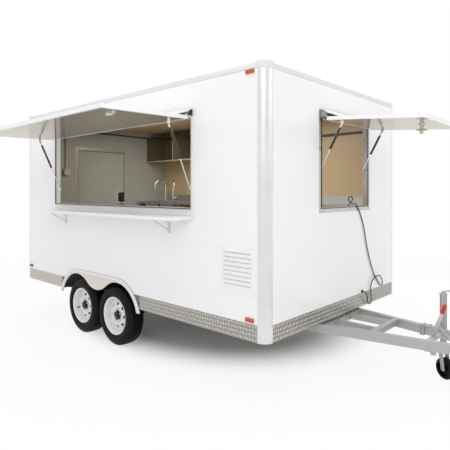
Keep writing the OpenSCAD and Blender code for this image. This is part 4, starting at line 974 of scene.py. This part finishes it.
def add_cabin_trim():
    """Dark trunking, the cabinet's edgings and backs, and the stainless strip on the sill."""
    rear, side = -BODY_LENGTH + INNER, HALF_WIDTH - INNER
    trim = Shape()
    x0, x1, low, high = WALL_TRUNKING
    trim.box(place(x0, side - 0.022, low), place(x1, side - 0.0005, high))
    low, high = REAR_TRUNKING
    trim.box(place(rear + 0.0005, -side + 0.02, low), place(rear + 0.02, side - 0.41, high))
    trim.finish("cabin_trunking", "trim_brown", slot="black_rubber", smooth=False)
    fronts, bays = Shape(), Shape()
    y0, low, high = CABINET
    room_x, room_z = BACK_ROOM
    outer, inner = (y0 - depth for depth in EDGING_FACES)
    for i in range(CABINET_BAYS + 1):
        x = CABINET_START + i * CABINET_PITCH
        fronts.box(place(x - BOARD, outer, low), place(x + 0.002, inner, high))
        if i < CABINET_BAYS:
            bays.box(place(x + room_x, side - BACK_FACES[0], low + room_z),
                     place(x + CABINET_PITCH - room_x, side - BACK_FACES[1], high - room_z))
    end = CABINET_START + CABINET_BAYS * CABINET_PITCH
    fronts.box(place(CABINET_START, outer, low - BOARD), place(end, inner, low + 0.002))
    fronts.box(place(CABINET_START, y0, low - BOARD - 0.0005), place(end, side - 0.005, low - BOARD))
    fronts.finish("cabinet_fronts", "cabinet_tan", slot="stainless", smooth=False)
    bays.finish("cabinet_backs", "cabinet_brown", slot="stainless", smooth=False)
    sill = Shape()
    sill.box(*(place(*corner) for corner in SILL_STRIP))
    sill.finish("sill_strip", "stainless", smooth=False)


# The seal round the door: its faces along x, its edges round the leaf, and its foot over the floor
DOOR_SEAL = (-3.99, -3.962)
DOOR_GAP = (0.003, 0.0078)
DOOR_SEAL_FOOT = 0.002


def add_door_fittings():
    """Black cover and turn handle on the door's lock, and the seal round the door."""
    cover = Shape()
    rear = -BODY_LENGTH + INNER
    cover.box(place(rear + 0.0262, 0.178, 1.44), place(rear + 0.036, 0.288, 1.587))
    cover.rod(place(rear + 0.036, 0.232, 1.51), place(rear + 0.056, 0.232, 1.51), 0.012, 18)
    cover.box(place(rear + 0.05, 0.222, 1.428), place(rear + 0.062, 0.242, 1.53))
    cover.finish("lock_cover", "black_plastic", "entry_door", "black_rubber")
    seal = Shape()
    y0, y1, _, top = DOOR_LEAF
    near, far = DOOR_GAP
    foot = FLOOR_TOP + DOOR_SEAL_FOOT
    for a, b in (((y0 - far, foot), (y0 - near, top + far)), ((y1 + near, foot), (y1 + far, top + far)),
                 ((y0, top + near), (y1, top + far))):
        seal.box(place(DOOR_SEAL[0], *a), place(DOOR_SEAL[1], *b))
    seal.finish("door_seal", "black_rubber")


# Drawbar: grip, crank knob, tube collar and bolts. A profile is a loop of [radius, height].

GRIP_NECK = (0.868, 0.02, 0.62)
GRIP_TIP = (0.888, 0.02, 0.68)
GRIP = [(0.0005, -0.012), (0.0135, -0.012), (0.0168, -0.008), (0.0172, 0.004), (0.0162, 0.012),
        (0.0172, 0.02), (0.0162, 0.028), (0.0172, 0.036), (0.0162, 0.044), (0.0172, 0.052),
        (0.0168, 0.062), (0.013, 0.0685), (0.0005, 0.07)]
# Axis of the jockey post, and the knob's place from there
JOCKEY = (0.805, 0.2544)
KNOB_AT = (0.05, 0.0866, 0.748)
KNOB = [(0.0005, 0), (0.0125, 0), (0.0145, 0.006), (0.0135, 0.03), (0.0148, 0.052), (0.0115, 0.0575),
        (0.0005, 0.0585)]
COLLAR_FOOT = 0.714
COLLAR = [(0.0287, 0), (0.0315, 0), (0.0315, 0.012), (0.0287, 0.0145)]
# Bolts in the post's bracket, from its axis along the turned bracket, and those of the coupling
BRACKET_TURN = -10.7
BRACKET_BOLTS = [(x, y) for x in (-0.14, -0.09, -0.042) for y in (-0.076, -0.042)]
BRACKET_FOOT = 0.439
COUPLING_BOLTS = [(x, y) for x in (1.345, 1.42) for y in (-0.034, 0.034)]
COUPLING_FOOT = 0.44


def add_drawbar_fittings():
    up = Vector((0, 0, 1))
    grip = Shape()
    neck, tip = place(*GRIP_NECK), place(*GRIP_TIP)
    grip.turned(neck, (tip - neck).normalized(), GRIP, 32)
    grip.finish("handbrake_grip", "red_grip", slot="lever")
    knob = Shape()
    knob.turned(place(JOCKEY[0] + KNOB_AT[0], JOCKEY[1] + KNOB_AT[1], KNOB_AT[2]), up, KNOB, 28)
    knob.finish("crank_knob", "black_plastic", slot="black_rubber")
    collar = Shape()
    collar.turned(place(*JOCKEY, COLLAR_FOOT), up, COLLAR, 40)
    collar.finish("jockey_collar", "galvanised", slot="galvanised")
    bolts = Shape()
    t = math.radians(BRACKET_TURN)
    for x, y in BRACKET_BOLTS:
        foot = place(JOCKEY[0] + x * math.cos(t) - y * math.sin(t),
                     JOCKEY[1] + x * math.sin(t) + y * math.cos(t), BRACKET_FOOT)
        bolts.rod(foot, foot + 0.002 * up, 0.011, 20)
        bolts.rod(foot + 0.001 * up, foot + 0.009 * up, 0.0085, 6)
    for x, y in COUPLING_BOLTS:
        foot = place(x, y, COUPLING_FOOT)
        bolts.rod(foot, foot + 0.009 * up, 0.0075, 6)
    bolts.finish("drawbar_bolts", "zinc")


# Vent: dark pieces of painted shade in the openings under the louvres and at their rear ends

VENT_FIRST = 0.881
VENT_PITCH = 0.036
VENT_COUNT = 8
VENT_ENDS = (-0.428, -0.141)
# The vent's plate stands this far out of the wall
VENT_THICK = 0.003
# A gap below its louvre's middle, and its distance from the louvre's ends
VENT_GAP = (-0.0145, -0.0105)
VENT_GAP_IN = 0.002


def add_vent_gaps():
    gaps = Shape()
    y = -HALF_WIDTH - VENT_THICK
    rear, front = VENT_ENDS
    low, high = VENT_GAP
    for i in range(VENT_COUNT):
        z = VENT_FIRST + i * VENT_PITCH
        gaps.box(place(rear + VENT_GAP_IN, y - 0.0006, z + low), place(front - VENT_GAP_IN, y, z + high))
        gaps.rod(place(rear - 0.0015, y - 0.0005, z - 0.002), place(rear, y - 0.0005, z - 0.002), 0.0085, 20)
    gaps.finish("vent_gaps", "gap_shade", slot="edge_rail")


# Seams between the roof's edge rail and the walls, dark strips of painted shade in the joints: how far they
# stand out, and from where to where they go over the roof's underside

SEAM_PROUD = 0.0004
SEAM_HEIGHTS = (-0.0015, 0.001)


def add_seams():
    seams = Shape()
    z0, z1 = (ROOF_UNDER + height for height in SEAM_HEIGHTS)
    for side in (-1, 1):
        y = sorted((side * HALF_WIDTH, side * (HALF_WIDTH + SEAM_PROUD)))
        seams.box(place(-BODY_LENGTH + POST_REACH, y[0], z0), place(-POST_REACH, y[1], z1))
    for x in ((0, SEAM_PROUD), (-BODY_LENGTH - SEAM_PROUD, -BODY_LENGTH)):
        seams.box(place(x[0], -HALF_WIDTH + POST_REACH, z0), place(x[1], HALF_WIDTH - POST_REACH, z1))
    seams.finish("roof_seams", "gap_shade", slot="edge_rail", smooth=False)


# Rounded caps over the roof's four corners

CAP_IN = 0.08
CAP_SHAPE = [(0.0005, 2.545), (0.0823, 2.545), (0.0823, 2.578), (0.0795, 2.589), (0.073, 2.598),
             (0.062, 2.6035), (0.045, 2.606), (0.0005, 2.6065)]


def add_roof_caps():
    caps = Shape()
    for x in (-CAP_IN, -BODY_LENGTH + CAP_IN):
        for y in (-HALF_WIDTH + CAP_IN, HALF_WIDTH - CAP_IN):
            caps.turned(place(x, y, 0), (0, 0, 1), CAP_SHAPE, 56)
    caps.finish("roof_caps", "edge_rail")


# Small screws with low heads, in rows along the roof's edge rail and at the vent's corners. A row starts
# and ends in from the body's corners.

SCREW_HEIGHT = 0.0015
SCREW_RADII = (0.004, 0.0028)
VENT_SCREW_RADII = (0.005, 0.0035)
VENT_SCREW_IN = 0.014
ROOF_SCREWS = 2.552
ROOF_SCREWS_IN = 0.1
SIDE_SCREWS = 18
END_SCREWS = 10


def screw_row(shape, start, end, out, count):
    foot_radius, head_radius = SCREW_RADII
    for i in range(count):
        foot = start.lerp(end, (i + 0.5) / count)
        shape.rod(foot, foot + SCREW_HEIGHT * Vector(out), foot_radius, 8, head_radius)


def add_screws():
    screws = Shape()
    rear, front, across = -BODY_LENGTH + ROOF_SCREWS_IN, -ROOF_SCREWS_IN, HALF_WIDTH - ROOF_SCREWS_IN
    top = ROOF_SCREWS
    for side in (-1, 1):
        y = side * HALF_WIDTH
        screw_row(screws, place(rear, y, top), place(front, y, top), (0, side, 0), SIDE_SCREWS)
    for x, out in ((0.0, 1), (-BODY_LENGTH, -1)):
        screw_row(screws, place(x, -across, top), place(x, across, top), (out, 0, 0), END_SCREWS)
    low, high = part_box("vent_louvre")
    foot_radius, head_radius = VENT_SCREW_RADII
    for x in (low.x + VENT_SCREW_IN, high.x - VENT_SCREW_IN):
        for z in (low.z + VENT_SCREW_IN, high.z - VENT_SCREW_IN):
            foot = Vector((x, place(0, -HALF_WIDTH - VENT_THICK, 0).y, z))
            screws.rod(foot, foot - Vector((0, SCREW_HEIGHT, 0)), foot_radius, 10, head_radius)
    screws.finish("screws", "zinc")


# Stage

FLOOR_SIZE = 120
FLOOR_AT = (-1.5, 0, -0.0005)
FLOOR_LIFT = 0.05
# Distances from the floor's middle at which it starts and ends to fade to white
FADE = (3.6, 8.0)
# Ellipse within which the trailer's shadow stays: middle, half axes, where the fade starts, its share
SHADOW_MIDDLE = (-0.5, 0.35)
SHADOW_HALF = (2.1, 1.75)
SHADOW_FADE = (0.62, 1.0)
SHADOW_SHARE = 0.88


def seen_rays(tree):
    """1 for rays of the camera and for mirrored or refracted ones, which see the white background."""
    path = tree.nodes.new("ShaderNodeLightPath")
    seen = path.outputs["Is Camera Ray"]
    for kind in ("Is Glossy Ray", "Is Transmission Ray"):
        seen = maths(tree, "MAXIMUM", seen, path.outputs[kind])
    return seen


def glow(tree, rays, level):
    """White light of a level, for the given rays alone."""
    light = tree.nodes.new("ShaderNodeEmission")
    light.inputs["Color"].default_value = (1, 1, 1, 1)
    tree.links.new(maths(tree, "MULTIPLY", rays, level), light.inputs["Strength"])
    return light.outputs["Emission"]


def add_floor():
    bpy.ops.mesh.primitive_plane_add(size=FLOOR_SIZE, location=place(*FLOOR_AT))
    floor = bpy.context.object
    floor.name = "floor"
    material, tree, bsdf = shader("floor")
    bsdf.inputs["Roughness"].default_value = 0.9
    bsdf.inputs["Specular IOR Level"].default_value = 0.1
    tint(tree, bsdf, ramp(tree, noise(tree, 0.7), (0.88, 0.88, 0.88), (0.9, 0.9, 0.9)))
    far = tree.nodes.new("ShaderNodeVectorMath")
    far.operation = "LENGTH"
    tree.links.new(coords(tree), far.inputs[0])
    fade = eased(tree, far.outputs["Value"], *FADE)
    across = [maths(tree, "DIVIDE", maths(tree, "SUBTRACT", value, middle), half)
              for value, middle, half in zip(parts(tree), SHADOW_MIDDLE, SHADOW_HALF)]
    reach = maths(tree, "SQRT", maths(tree, "ADD", *[maths(tree, "MULTIPLY", v, v) for v in across]))
    edge = maths(tree, "MULTIPLY", eased(tree, reach, *SHADOW_FADE), SHADOW_SHARE)
    share = maths(tree, "MAXIMUM", fade, edge)
    seen = seen_rays(tree)
    lift = glow(tree, seen, FLOOR_LIFT)
    white = glow(tree, seen, 1.0)
    near = tree.nodes.new("ShaderNodeAddShader")
    tree.links.new(bsdf.outputs["BSDF"], near.inputs[0])
    tree.links.new(lift, near.inputs[1])
    both = tree.nodes.new("ShaderNodeMixShader")
    tree.links.new(maths(tree, "MULTIPLY", seen, share), both.inputs["Fac"])
    tree.links.new(near.outputs["Shader"], both.inputs[1])
    tree.links.new(white, both.inputs[2])
    tree.links.new(both.outputs["Shader"], tree.nodes["Material Output"].inputs["Surface"])
    floor.data.materials.append(material)


WORLD_LIGHT = 0.73


def add_world():
    world = bpy.data.worlds.new("world")
    bpy.context.scene.world = world
    world.use_nodes = True
    tree = world.node_tree
    background = tree.nodes["Background"]
    background.inputs["Color"].default_value = (1, 1, 1, 1)
    tree.links.new(spread(tree, seen_rays(tree), WORLD_LIGHT, 1.0), background.inputs["Strength"])


# Lamps: [name, place, aim, size, watts]
LAMPS = [
    ["top", (-1.5, -1.0, 9.0), (-1.5, 0.0, 0.0), 9.0, 340],
    ["key", (3.5, -7.5, 6.0), (-1.5, 0.0, 0.8), 5.0, 135],
    ["fill", (7.5, 2.0, 5.0), (0.0, 0.0, 1.0), 4.0, 62],
    ["cabin_rear", (-2.6, 0.0, 2.5), (-2.6, 0.0, 0.0), 1.0, 14],
    ["cabin_side", (-2.7, -0.3, 2.3), (-2.6, 1.15, 1.7), 0.8, 6],
    ["cabin_front", (-1.0, 0.0, 2.5), (-1.0, 0.0, 0.0), 1.0, 15],
]


def add_lamps():
    for name, at, aim, size, watts in LAMPS:
        data = bpy.data.lights.new(name, "AREA")
        data.size = size
        data.energy = watts
        lamp = add_object(name, data)
        lamp.location = place(*at)
        lamp.rotation_euler = (place(*aim) - place(*at)).to_track_quat("-Z", "Y").to_euler()


add_camera()
add_lead()
dress_nodes()
add_tyres()
add_checker_plate()
add_mudguard_dressing()
add_wheel_fittings()
add_seals()
add_hatch_skins()
add_rail_caps()
add_awning_latch()
add_hatch_handle()
add_strut_ends()
add_lining()
add_cabin_trim()
add_door_fittings()
add_drawbar_fittings()
add_vent_gaps()
add_seams()
add_roof_caps()
add_screws()
add_floor()
add_world()
add_lamps()
bpy.context.scene.view_settings.view_transform = "Standard"
